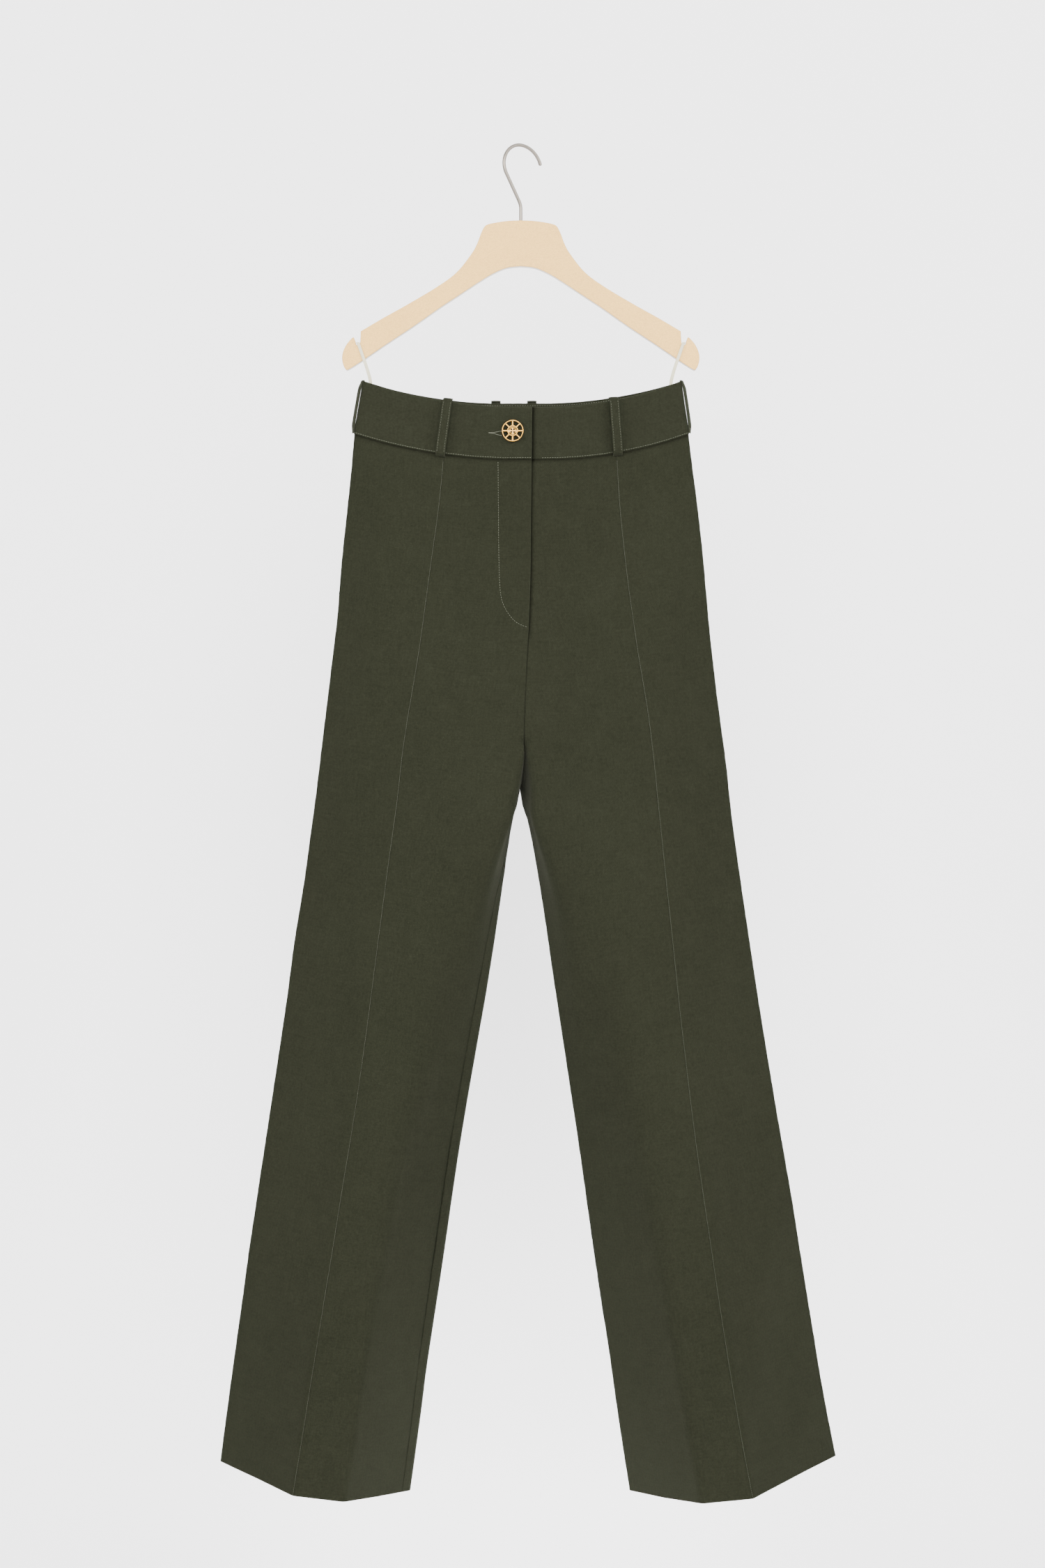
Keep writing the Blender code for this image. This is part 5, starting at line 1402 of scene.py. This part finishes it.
# ---- fly
@dataclass
class Fly:
    """What lies behind the fly, its J-shaped topstitch and the buttonhole."""

    halves: dict[Side, TrouserHalf]
    cloth: Material
    tape: Material
    metal: Material
    end: float = 2.74

    def strip(self, name: str, slot: str, reach: Pair, depth: float, thick: float,
              finish: Material) -> Array:
        """A strip behind the fronts: their own front points across from the fly's edge, moved back.

        Args:
            name: the node that it stands for.
            slot: not used.
            reach: its two edges, from the fly's edge to the right.
            depth: how far it lies behind the fronts.
            thick: its wall.
            finish: its material.

        Returns:
            The points of its back face.
        """
        rows = []
        for place in np.linspace(0.03, self.end, 60):
            left, right = (self.halves[side].form.section(place)[0] for side in (Side.LEFT, Side.RIGHT))
            meet = -left[-1][0]
            x = meet + np.linspace(reach[0], reach[1], 25)
            depths = [np.where(x < meet, np.interp(x, -left[:, 0], left[:, axis]),
                               np.interp(-x, -right[:, 0], right[:, axis])) for axis in (1, 2)]
            rows.append(np.column_stack((x, depths[0] + depth, -depths[1])))
        points = np.array(rows)
        across = points[..., 0] - points[:, :1, 0]
        along = mean_lengths_down(points)
        behind = points.copy()
        behind[..., 1] += thick
        made = make_shell(f"cloth_{name}", points, behind, finish, cloth_map(across, along))
        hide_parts(name)
        return behind

    def build_teeth(self, behind: Array) -> Piece:
        """Closed coil of the zip: small interlocked blocks down the tape's middle, at its back."""
        middle = behind[:, 12]
        run = lengths_along(middle)
        at = np.arange(4.0, run[-1] - 3.0, 1.1)
        centre = read_path(middle, at) + np.array((0.0, 0.35, 0.0))
        centre[:, 0] += np.where(np.arange(len(at)) % 2 == 0, 0.55, -0.55)
        corner = np.array([(x, y, z) for x in (-1.4, 1.4) for y in (-0.35, 0.35) for z in (-0.38, 0.38)])
        points = centre[:, None] + corner[None]
        quads = np.array(((0, 1, 3, 2), (4, 6, 7, 5), (0, 4, 5, 1), (2, 3, 7, 6), (0, 2, 6, 4), (1, 5, 7, 3)))
        faces = (quads[None] + (np.arange(len(at)) * 8)[:, None, None]).reshape(-1, 4)
        made = make_piece("zip_coil", points, [faces], self.metal, sharp=30.0)
        return made

    def j_stitch(self, needle: Seamstress, surface: Surface) -> Array:
        """Topstitch down the left front beside the fly, curving in to the seam at its end."""
        bends = np.array(((-23.4, -334.5), (-23.1, -372.0), (-22.8, -410.0), (-22.3, -445.0),
                          (-21.4, -466.0), (-19.4, -480.0), (-15.4, -489.6), (-10.5, -497.0),
                          (-4.6, -503.0), (2.6, -506.9), (6.9, -508.3)))
        line = curve_through(bends, np.linspace(0.0, len(bends) - 1.0, 240))
        points, normals = surface.under(line[:, 0], line[:, 1])
        return needle.along(points, normals, TOPSTITCH_PITCH, 1.8, 0.16)

    def buttonhole(self, needle: Seamstress, surface: Surface) -> list[Array]:
        """Purl stitches round a keyhole: one line that opens into a drop whose end the button covers."""
        x = np.linspace(-33.2, -19.0, 70)
        half = 0.25 + 2.0 * smooth_step((x + 31.0) / 12.0)
        runs = []
        for sign in (1.0, -1.0):
            points, normals = surface.under(x, -304.4 + sign * half - 0.05 * (x + 33.0))
            runs.append(needle.along(points, normals, 0.75, 1.0, 0.26))
        return runs


# ---- button
@dataclass
class FlyButton:
    """Openwork metal button: rim and dished hub joined by plain spokes, on a wound thread post."""

    gold: Material
    dark: Material
    seat_y: float
    radius: float = 11.6
    rim: float = 1.7
    hub: float = 5.9
    proud: float = 1.9
    spokes: int = 8
    around: int = 96
    holes: int = 4
    hole_out: float = 1.95
    spoke_half: float = 0.75

    def place(self, points: Array) -> Array:
        """From the button's own (right, up, forward) to the frame."""
        x, up, forward = points[..., 0], points[..., 1], points[..., 2]
        return np.stack((BUTTON_X + x, self.seat_y - self.proud - forward, BUTTON_Z + up), axis=-1)

    def polar(self, radii: Array, heights: Array, steps: int) -> Array:
        """Surface of revolution about the button's axis: (ring, turn, 3)."""
        turn = np.linspace(0.0, 2.0 * math.pi, steps, endpoint=False)
        return np.stack(np.broadcast_arrays(radii[:, None] * np.cos(turn), radii[:, None] * np.sin(turn),
                                            heights[:, None]), axis=-1)

    def hole_angles(self) -> Array:
        """Directions of the holes from the button's middle."""
        return 2.0 * math.pi * (np.arange(self.holes) + 0.5) / self.holes

    def build_rim(self) -> tuple[Array, list[Array]]:
        """Ring of squarish section: its radius goes by |cos|^0.75, its height by 1.2 (1 + sin)."""
        turn = np.linspace(0.0, 2.0 * math.pi, 20, endpoint=False)
        half = self.rim / 2.0
        radii = self.radius - half + half * np.sign(np.cos(turn)) * np.abs(np.cos(turn))**0.75
        rings = self.polar(radii, 1.2 + 1.2 * np.sin(turn), self.around)
        return rings, [grid_faces(len(turn), self.around, close=True, loop=True)]

    def build_hub(self) -> tuple[Array, list[Array]]:
        """Dished hub from a profile, with a pit of depth 1.1 exp(-(distance / 0.75)^4) at each hole."""
        profile = np.array((
            (0.05, 1.5), (0.6, 1.5), (1.1, 1.5), (1.6, 1.5), (2.1, 1.5), (2.6, 1.52), (3.1, 1.56),
            (3.6, 1.66), (4.0, 1.85), (4.4, 2.15), (4.8, 2.42), (5.2, 2.5), (5.55, 2.42), (5.8, 2.15),
            (5.9, 1.8), (5.9, 0.4), (5.6, 0.1), (3.0, 0.0), (0.05, 0.0)))
        front = 14
        rings = self.polar(profile[:, 0], profile[:, 1], self.around)
        for angle in self.hole_angles():
            away = ((rings[..., 0] - self.hole_out * math.cos(angle))**2
                    + (rings[..., 1] - self.hole_out * math.sin(angle))**2)
            rings[:front, :, 2] -= 1.1 * np.exp(-(away[:front] / 0.75**2)**2)
        first = np.arange(self.around)
        last = (len(profile) - 1) * self.around + first
        return rings, [grid_faces(len(profile), self.around, close=True), first[None, ::-1], last[None]]

    def build_spoke(self, index: int) -> tuple[Array, list[Array]]:
        """Squarish bar from hub to rim, wider at both ends, turned to its place."""
        along = np.linspace(self.hub - 0.5, self.radius - self.rim + 0.5, 8)
        around = np.linspace(0.0, 2.0 * math.pi, 12, endpoint=False)
        from_middle = 2.0 * (along - along[0]) / (along[-1] - along[0]) - 1.0
        sizes = np.stack((0.85 + 0.45 * np.abs(from_middle)**2, np.full(8, self.spoke_half)), axis=-1)
        square = np.stack((np.sign(np.cos(around)) * np.abs(np.cos(around))**0.6,
                           np.sign(np.sin(around)) * np.abs(np.sin(around))**0.6), axis=-1)
        cross = square[None] * sizes[:, None]
        out = np.broadcast_to(along[:, None], cross.shape[:2])
        angle = 2.0 * math.pi * index / self.spokes
        rings = np.stack((out * math.cos(angle) - cross[..., 0] * math.sin(angle),
                          out * math.sin(angle) + cross[..., 0] * math.cos(angle),
                          cross[..., 1] + 1.0), axis=-1)
        first = np.arange(12)
        return rings, [grid_faces(8, 12, close=True), first[None, ::-1], 84 + first[None]]

    def build_metal(self) -> Piece:
        """Rim, hub and spokes as one gold piece."""
        blocks, faces, start = [], [], 0
        for rings, corners in (self.build_rim(), self.build_hub(),
                               *(self.build_spoke(index) for index in range(self.spokes))):
            blocks.append(rings.reshape(-1, 3))
            faces += [start + part for part in corners]
            start += len(blocks[-1])
        metal = make_piece("openwork_button", self.place(np.concatenate(blocks)), faces, self.gold,
                           sharp=50.0)
        fix_normals(metal)
        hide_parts("button")
        return metal

    def build_post(self) -> Piece:
        """Wound thread post: a tube whose radius waves once for each turn of thread."""
        height = np.linspace(0.25, self.proud - 0.05, 22)
        thick = 1.35 + 0.12 * np.sin(height * 2.0 * math.pi / 0.36)
        line = np.stack((np.full(22, BUTTON_X), self.seat_y - height, np.full(22, BUTTON_Z)), axis=-1)
        post = make_tube("wound_thread", line, thick, 24, self.dark)
        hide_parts("button_thread_post")
        return post

    def build_ends(self) -> Piece:
        """A small domed plug of thread in each hole."""
        rings, sides = 6, 12
        first = np.arange(sides)
        quads, caps = [], []
        for start in range(0, self.holes * rings * sides, rings * sides):
            quads.append(grid_faces(rings, sides, start, close=True))
            caps.append(np.stack((start + first[::-1], start + (rings - 1) * sides + first)))
        plugs = [self._thread_end(angle, rings, sides) for angle in self.hole_angles()]
        ends = make_piece("button_thread_ends", np.concatenate(plugs), quads + caps, self.dark, sharp=180.0)
        fix_normals(ends)
        return ends

    def build(self) -> list[Piece]:
        """The metal, the thread post and the ends of the thread in the holes."""
        return [self.build_metal(), self.build_post(), self.build_ends()]

    def _thread_end(self, angle: float, rings: int, sides: int) -> Array:
        """One plug of thread: rings of radius 0.6 sqrt(1 - s^2) about its hole's middle."""
        share = np.linspace(-0.96, 0.96, rings)
        plug = self.polar(0.6 * np.sqrt(1.0 - share**2), 0.85 + 0.45 * share, sides)
        plug[..., 0] += self.hole_out * math.cos(angle)
        plug[..., 1] += self.hole_out * math.sin(angle)
        return self.place(plug).reshape(-1, 3)


# ---- hanger
@dataclass
class Hanger:
    """Flat board with notched ends, a swivelled round hook and two ribbon loops."""

    board_finish: Material
    edge_finish: Material
    steel: Material
    ribbon: Material
    axis: float = 0.4
    thick: float = 10.0
    edge: float = 1.1
    edge_rings: int = 6
    board_top: float = 78.3
    stem_in: float = 22.5
    wire: float = 1.8
    bend: float = 21.0
    open_bend: float = 26.0
    end_angle: float = 74.0
    neck_angle: float = 30.0
    neck_bend: float = 18.0
    turn: float = 33.0
    ribbon_width: float = 3.3
    ribbon_wall: float = 0.8

    def outline(self) -> Array:
        """The board's outline as (across from its axis, down), round from the top's middle.

        Each run of corners becomes a smooth curve; the other half is its mirror image.
        """
        shoulder = ((0.0, 78.3), (12.0, 78.7), (24.0, 80.2), (33.5, 82.2), (38.0, 84.6), (41.9, 91.9),
                    (46.3, 103.5), (52.3, 114.0), (67.7, 133.1), (88.4, 148.4), (119.4, 166.9),
                    (145.1, 181.2), (168.6, 195.1))
        notch = ((168.6, 195.1), (168.9, 201.5), (169.3, 207.0), (170.6, 209.3), (173.2, 209.3),
                 (174.6, 204.8), (176.0, 201.4))
        tip = ((176.0, 201.4), (178.0, 202.4), (183.6, 209.0), (187.2, 216.5), (188.3, 224.0),
               (186.7, 231.5), (184.0, 235.8))
        underside = ((184.0, 235.8), (181.0, 235.0), (168.4, 227.0), (140.0, 207.7), (112.0, 189.2),
                     (86.0, 170.9), (64.0, 156.4), (44.0, 143.2), (30.0, 134.7), (15.0, 128.3), (0.0, 126.5))
        runs = [curve_through(np.array(run), np.linspace(0.0, len(run) - 1.0, (len(run) - 1) * 6 + 1))[:-1]
                for run in (shoulder, notch, tip, underside)]
        half = np.vstack(runs + [np.array(underside[-1:])])
        even = np.linspace(0.0, lengths_along(half)[-1], 560)
        half = read_path(half, even)
        return np.vstack((half, half[-2:0:-1] * (-1.0, 1.0)))

    def build_board(self) -> Piece:
        """Rings of the outline, drawn in by a quarter round at both faces, with flat faces between.

        Each ring moves along the outline's direction averaged over seven points, so sharp corners
        don't cross.
        """
        line = self.outline()
        ahead = unit(np.roll(line, -1, axis=0) - np.roll(line, 1, axis=0))
        normal = unit(sum(np.roll(ahead, shift, axis=0) for shift in range(-3, 4)))
        inward = np.stack((-normal[:, 1], normal[:, 0]), axis=-1)
        middle = line.mean(axis=0)
        if np.sum(inward[:10] * (middle - line[:10])) < 0:
            inward = -inward
        angles = np.linspace(0.0, math.pi / 2.0, self.edge_rings)
        half = self.thick / 2.0
        steps = [(self.edge * (1.0 - math.cos(angle)), half - self.edge * (1.0 - math.sin(angle)))
                 for angle in angles]
        steps = [(draw, -depth) for draw, depth in steps[::-1]] + steps
        rings = []
        for draw, depth in steps:
            ring = line + inward * draw
            rings.append(np.column_stack((self.axis + ring[:, 0], np.full(len(ring), depth), -ring[:, 1])))
        count = len(line)
        quads = grid_faces(len(rings), count, close=True)
        front = np.arange(count)[None, :]
        back = (len(rings) - 1) * count + np.arange(count)[None, ::-1]
        made = make_piece("board", np.array(rings), [quads, front, back], self.board_finish, sharp=35.0)
        # the side wall between the two rounded rims takes the paler side finish, partly painted highlight
        made.data.materials.append(self.edge_finish)
        rim = np.zeros(len(made.data.polygons), dtype=np.int32)
        rim[(self.edge_rings - 1) * count:self.edge_rings * count] = 1
        made.data.polygons.foreach_set("material_index", rim)
        fix_normals(made)
        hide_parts("hanger_board")
        return made

    def route(self) -> Array:
        """Centre line of the hook in its own plane, as (outwards, down), foot of the stem to the end."""
        crest = -self.wire
        neck = math.radians(self.neck_angle)
        leave = np.array((-self.bend * math.cos(neck), crest + self.bend + self.bend * math.sin(neck)))
        axis_at = leave + np.array((math.sin(neck), math.cos(neck))) * (-leave[0] / math.sin(neck))
        tangent = self.neck_bend * math.tan(neck / 2.0)
        foot = self.board_top + self.stem_in
        share = np.linspace(0.0, neck, 14)
        bent = np.column_stack((-self.neck_bend * (1.0 - np.cos(share)),
                                axis_at[1] + tangent - self.neck_bend * np.sin(share)))
        turn = np.radians(np.linspace(-self.neck_angle, 90.0, 60))
        crown = np.column_stack((-self.bend * np.cos(turn), crest + self.bend - self.bend * np.sin(turn)))
        turn = np.radians(np.linspace(0.0, self.end_angle, 34))[1:]
        opened = np.column_stack((self.open_bend * np.sin(turn),
                                  crest + self.open_bend * (1.0 - np.cos(turn))))
        return np.vstack(([(0.0, foot), (0.0, (foot + bent[0, 1]) / 2.0)], bent, crown, opened))

    def build_hook(self) -> Piece:
        """Round wire along the route, turned about the upright, with a rounded end."""
        flat = self.route()
        turn = math.radians(self.turn)
        line = np.column_stack((self.axis + flat[:, 0] * math.cos(turn), flat[:, 0] * math.sin(turn),
                                -flat[:, 1]))
        tip = line[-1] - line[-2]
        dome = np.radians(np.linspace(0.0, 84.0, 7))[1:]
        radii = np.concatenate((np.full(len(line), self.wire), self.wire * np.cos(dome)))
        line = np.vstack((line[:-1], line[-1] - unit(tip) * self.wire * 0.999,
                          line[-1] + unit(tip) * self.wire * (np.sin(dome)[:, None] - 1.0)))
        made = make_tube("hook_wire", line, radii, 24, self.steel)
        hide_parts("hook")
        return made

    def build_ribbon(self, side: Side) -> Piece:
        """Ribbon loop: out of the waist, up the board's face, through the notch and down behind."""
        front = np.array(((157.5, 1.5, 268.0), (158.2, 1.9, 252.0), (159.6, 3.6, 243.0), (163.5, 5.8, 230.0),
                          (168.4, 5.9, 216.0), (170.9, 5.9, 208.9), (171.8, 4.9, 207.2)))
        line = np.vstack((front, front[::-1] * (1.0, -1.0, 1.0)))
        line = curve_through(line, np.linspace(0.0, len(line) - 1.0, 110))
        middle = np.column_stack((side.sign * line[:, 0] + self.axis, -line[:, 1], -line[:, 2]))
        along = unit(np.gradient(middle, axis=0))
        across = np.tile((1.0, 0.0, 0.0), (len(middle), 1))
        across = unit(across - along * np.sum(across * along, axis=1, keepdims=True))
        proud = np.cross(along, across)
        half = self.ribbon_width / 2.0
        offsets = np.array((-1.0, -0.97, -0.88, -0.7, -0.35, 0.0, 0.35, 0.7, 0.88, 0.97, 1.0)) * half
        sink = roll(half - np.abs(offsets), self.ribbon_wall / 2.0 - 0.02)
        flat = middle[:, None] + across[:, None] * offsets[None, :, None]
        depth = (self.ribbon_wall / 2.0 - sink)[None, :, None]
        name = f"hanging_ribbon_{side.value}"
        made = make_shell(f"cloth_{name}", flat + proud[:, None] * depth, flat - proud[:, None] * depth,
                          self.ribbon, cloth_map(offsets[None, :] + half, lengths_along(middle)))
        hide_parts(name)
        return made

    def build(self) -> list[Piece]:
        """All pieces of the hanger."""
        return [self.build_board(), self.build_hook(), *(self.build_ribbon(side) for side in Side)]


# ---- studio
@dataclass(frozen=True)
class Lamp:
    """One square area light that faces a point."""

    name: str
    at: Triple
    aim: Triple
    size: float
    power: float

    def build(self) -> Piece:
        """The light, turned to its aim."""
        light = bpy.data.lights.new(self.name, "AREA")
        light.size = self.size
        light.energy = self.power
        made = bpy.data.objects.new(self.name, light)
        made.location = self.at
        ahead = np.array(self.aim) - np.array(self.at)
        flat = math.hypot(ahead[0], ahead[1])
        made.rotation_euler = (math.atan2(flat, -ahead[2]), 0.0, math.atan2(-ahead[0], ahead[1]))
        bpy.context.scene.collection.objects.link(made)
        return made


@dataclass
class Studio:
    """Pale floor and wall in one sweep, soft lamps and the camera."""

    wall_y: float = 0.75
    floor_z: float = -1.95
    bend: float = 0.35
    half_width: float = 6.0
    tone: Triple = (0.93, 0.925, 0.93)
    world: float = 0.75

    def build_sweep(self) -> Piece:
        """Floor, quarter-round bend and wall; seen from behind, the wall lets the view through."""
        turn = np.linspace(0.0, math.pi / 2.0, 24)
        bend = np.column_stack((self.wall_y - self.bend + self.bend * np.sin(turn),
                                self.floor_z + self.bend - self.bend * np.cos(turn)))
        line = np.vstack(((-5.0, self.floor_z), bend, (self.wall_y, 4.0))) / MM
        x = np.linspace(-self.half_width, self.half_width, 5) / MM
        points = np.stack(np.broadcast_arrays(x[None, :], line[:, :1], line[:, 1:]), axis=-1)
        look = Dressing("paper_sweep")
        look.finish(Base_Color=(*self.tone, 1.0), Roughness=1.0, Specular_IOR_Level=0.0)
        behind = look.add("ShaderNodeNewGeometry").outputs["Backfacing"]
        clear = look.add("ShaderNodeBsdfTransparent").outputs[0]
        either = look.add("ShaderNodeMixShader", {0: behind, 1: look.shader.outputs[0], 2: clear})
        look.fill(look.tree.nodes["Material Output"], {"Surface": either.outputs[0]})
        faces = grid_faces(len(line), 5)
        normal = np.cross(points[1, 0] - points[0, 0], points[0, 1] - points[0, 0])
        if normal[2] < 0:
            faces = faces[:, ::-1]
        return make_piece("sweep", points, [faces], look.material, sharp=180.0, staged=True)

    def build(self) -> None:
        """Sweep, lamps, world and camera."""
        sweep = self.build_sweep()
        lamps = [
            Lamp("front", (0.1, -3.6, 0.4), (0.0, 0.0, -0.6), 2.6, 340.0).build(),
            Lamp("side_left", (-2.6, -1.9, 0.5), (0.0, 0.1, -0.3), 1.6, 115.0).build(),
            Lamp("side_right", (2.6, -1.8, 0.5), (0.0, 0.1, -0.3), 1.6, 125.0).build(),
            Lamp("top", (0.0, -0.9, 1.9), (0.0, 0.0, -0.6), 1.5, 30.0).build(),
            Lamp("rear", (0.4, 2.6, 0.4), (0.0, 0.0, -0.75), 2.0, 60.0).build(),
            Lamp("wall", (0.0, 0.28, -1.87), (0.0, 0.75, -1.0), 0.8, 13.0).build(),
        ]
        world = bpy.data.worlds.new("studio")
        world.use_nodes = True
        world.node_tree.nodes["Background"].inputs[0].default_value = (1.0, 1.0, 1.0, 1.0)
        world.node_tree.nodes["Background"].inputs[1].default_value = self.world
        bpy.context.scene.world = world
        camera = bpy.data.cameras.new("photo")
        camera.lens = 65.3
        camera.sensor_width = 36.0
        eye = bpy.data.objects.new("photo", camera)
        eye.location = (0.0022, -3.0, -0.672)
        eye.rotation_euler = (math.pi / 2.0, 0.0, 0.0)
        bpy.context.scene.collection.objects.link(eye)
        bpy.context.scene.camera = eye


# ---- all together
def build_finishes() -> dict[str, Material]:
    """Every finish by its slot or use."""
    weave, cloud = weave_group(), cloud_group()
    cloths = {
        # Each cloth's third colour is the colour of its painted edge highlight.
        "cloth": ClothFinish("olive_cloth", (0.0062, 0.0068, 0.0039), (0.0168, 0.0180, 0.0113),
                             (0.034, 0.037, 0.025)),
        "band": ClothFinish("olive_band_cloth", (0.0063, 0.0069, 0.0041), (0.0174, 0.0187, 0.0118),
                            (0.036, 0.039, 0.027)),
        "lining": ClothFinish("olive_lining", (0.008, 0.0085, 0.005), (0.017, 0.018, 0.011),
                              (0.02, 0.02, 0.014)),
        "tape": ClothFinish("zip_tape_cloth", (0.008, 0.0085, 0.005), (0.018, 0.019, 0.012),
                            (0.02, 0.02, 0.014), rib=0.0016),
        "ribbon": ClothFinish("cream_ribbon_cloth", (0.42, 0.39, 0.27), (0.62, 0.58, 0.43),
                              (0.72, 0.69, 0.54), rib=0.0008, bump=0.5, sheen=0.05),
    }
    even = (900.0, 900.0, 900.0)
    others = {
        "thread": GrainFinish("olive_thread", (0.050, 0.054, 0.034), (0.085, 0.090, 0.060), even,
                              (0.7, 0.9), bump=0.0, sheen=0.1),
        "seam_thread": GrainFinish("olive_seam_thread", (0.040, 0.043, 0.028), (0.070, 0.074, 0.050),
                                   even, (0.7, 0.9), bump=0.0, sheen=0.1),
        "button_thread": GrainFinish("dark_thread", (0.010, 0.009, 0.006), (0.026, 0.024, 0.016),
                                     (1500.0, 1500.0, 1500.0), (0.7, 0.95), bump=0.2, sheen=0.1),
        "gold": GrainFinish("brushed_gold", (0.13, 0.065, 0.010), (0.40, 0.225, 0.052),
                            (2200.0, 2200.0, 2200.0), (0.16, 0.30), metallic=1.0, bump=0.08,
                            bump_distance=0.00005, cloud=0.008),
        "board": GrainFinish("pale_fibreboard", (0.44, 0.232, 0.050), (0.73, 0.445, 0.124),
                             (900.0, 900.0, 1500.0), (0.55, 0.8), bump=0.15, contrast=2.4),
        # Side wall of the board: paler and greyer than its faces, partly the cut edge's own colour and partly
        # painted highlight.
        "board_edge": GrainFinish("pale_board_side_with_highlight", (0.50, 0.46, 0.40), (0.72, 0.66, 0.58),
                                  (900.0, 300.0, 900.0), (0.6, 0.85), bump=0.3, contrast=1.6),
        "steel": GrainFinish("brushed_steel", (0.10, 0.088, 0.072), (0.25, 0.222, 0.19),
                             (1200.0, 1200.0, 160.0), (0.28, 0.5), metallic=1.0, bump=0.1,
                             bump_distance=0.00005, cloud=0.02),
    }
    made = {name: finish.build(weave, cloud) for name, finish in cloths.items()}
    made.update({name: finish.build(cloud) for name, finish in others.items()})
    return made


def seat_depth(band: Waistband) -> float:
    """Y of the face the button's thread stands on: the left band's outer face at the button."""
    point, _ = band.outer[Side.LEFT].under(np.array((BUTTON_X,)), np.array((BUTTON_Z,)))
    return float(point[0, 1])


def main() -> None:
    """Build every class in order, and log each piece."""
    logging.basicConfig(level=logging.INFO, format="%(name)s: %(message)s")
    finishes = build_finishes()
    made: list[Piece] = []

    made += Hanger(finishes["board"], finishes["board_edge"], finishes["steel"], finishes["ribbon"]).build()
    halves = {side: TrouserHalf(side, finishes["cloth"], finishes["lining"]) for side in Side}
    for half in halves.values():
        made += half.build()
    needle, seam_needle = Seamstress(finishes["thread"]), Seamstress(finishes["seam_thread"])
    band = Waistband(finishes["band"])
    made += band.build()
    stitches = band.stitch_runs(needle)
    stitches += BeltLoops(band, finishes["band"]).build(needle)

    fly = Fly(halves, finishes["cloth"], finishes["tape"], finishes["steel"])
    fly.strip("fly_shield", "cloth", (-40.0, 14.0), 3.4, 1.0, finishes["cloth"])
    fly.build_teeth(fly.strip("fly_zip", "zip_tape", (-26.0, -3.0), 1.6, 1.0, finishes["tape"]))
    left_front, _ = halves[Side.LEFT].surface(Stretch.FRONT_INNER, INNER_COLUMNS)
    stitches.append(fly.j_stitch(needle, left_front))
    made.append(needle.sew("topstitches", stitches))
    made.append(needle.sew("buttonhole_purl", fly.buttonhole(needle, band.outer[Side.LEFT])))

    seams = []
    for half in halves.values():
        surface, _ = half.surface(Stretch.FRONT_OUTER, OUTER_COLUMNS)
        edge, normals = surface.points[6:-3, -1], surface.normals[6:-3, -1]
        seams.append(seam_needle.along(edge - normals * 0.12, normals, 2.0, 1.4, 0.10))
    made.append(seam_needle.sew("long_seam_stitches", seams))

    made += FlyButton(finishes["gold"], finishes["button_thread"], seat_depth(band)).build()
    Studio().build()
    for piece in made:
        LOG.info("%s: %d faces", piece.name, len(piece.data.polygons))


if __name__ == "__main__":
    main()
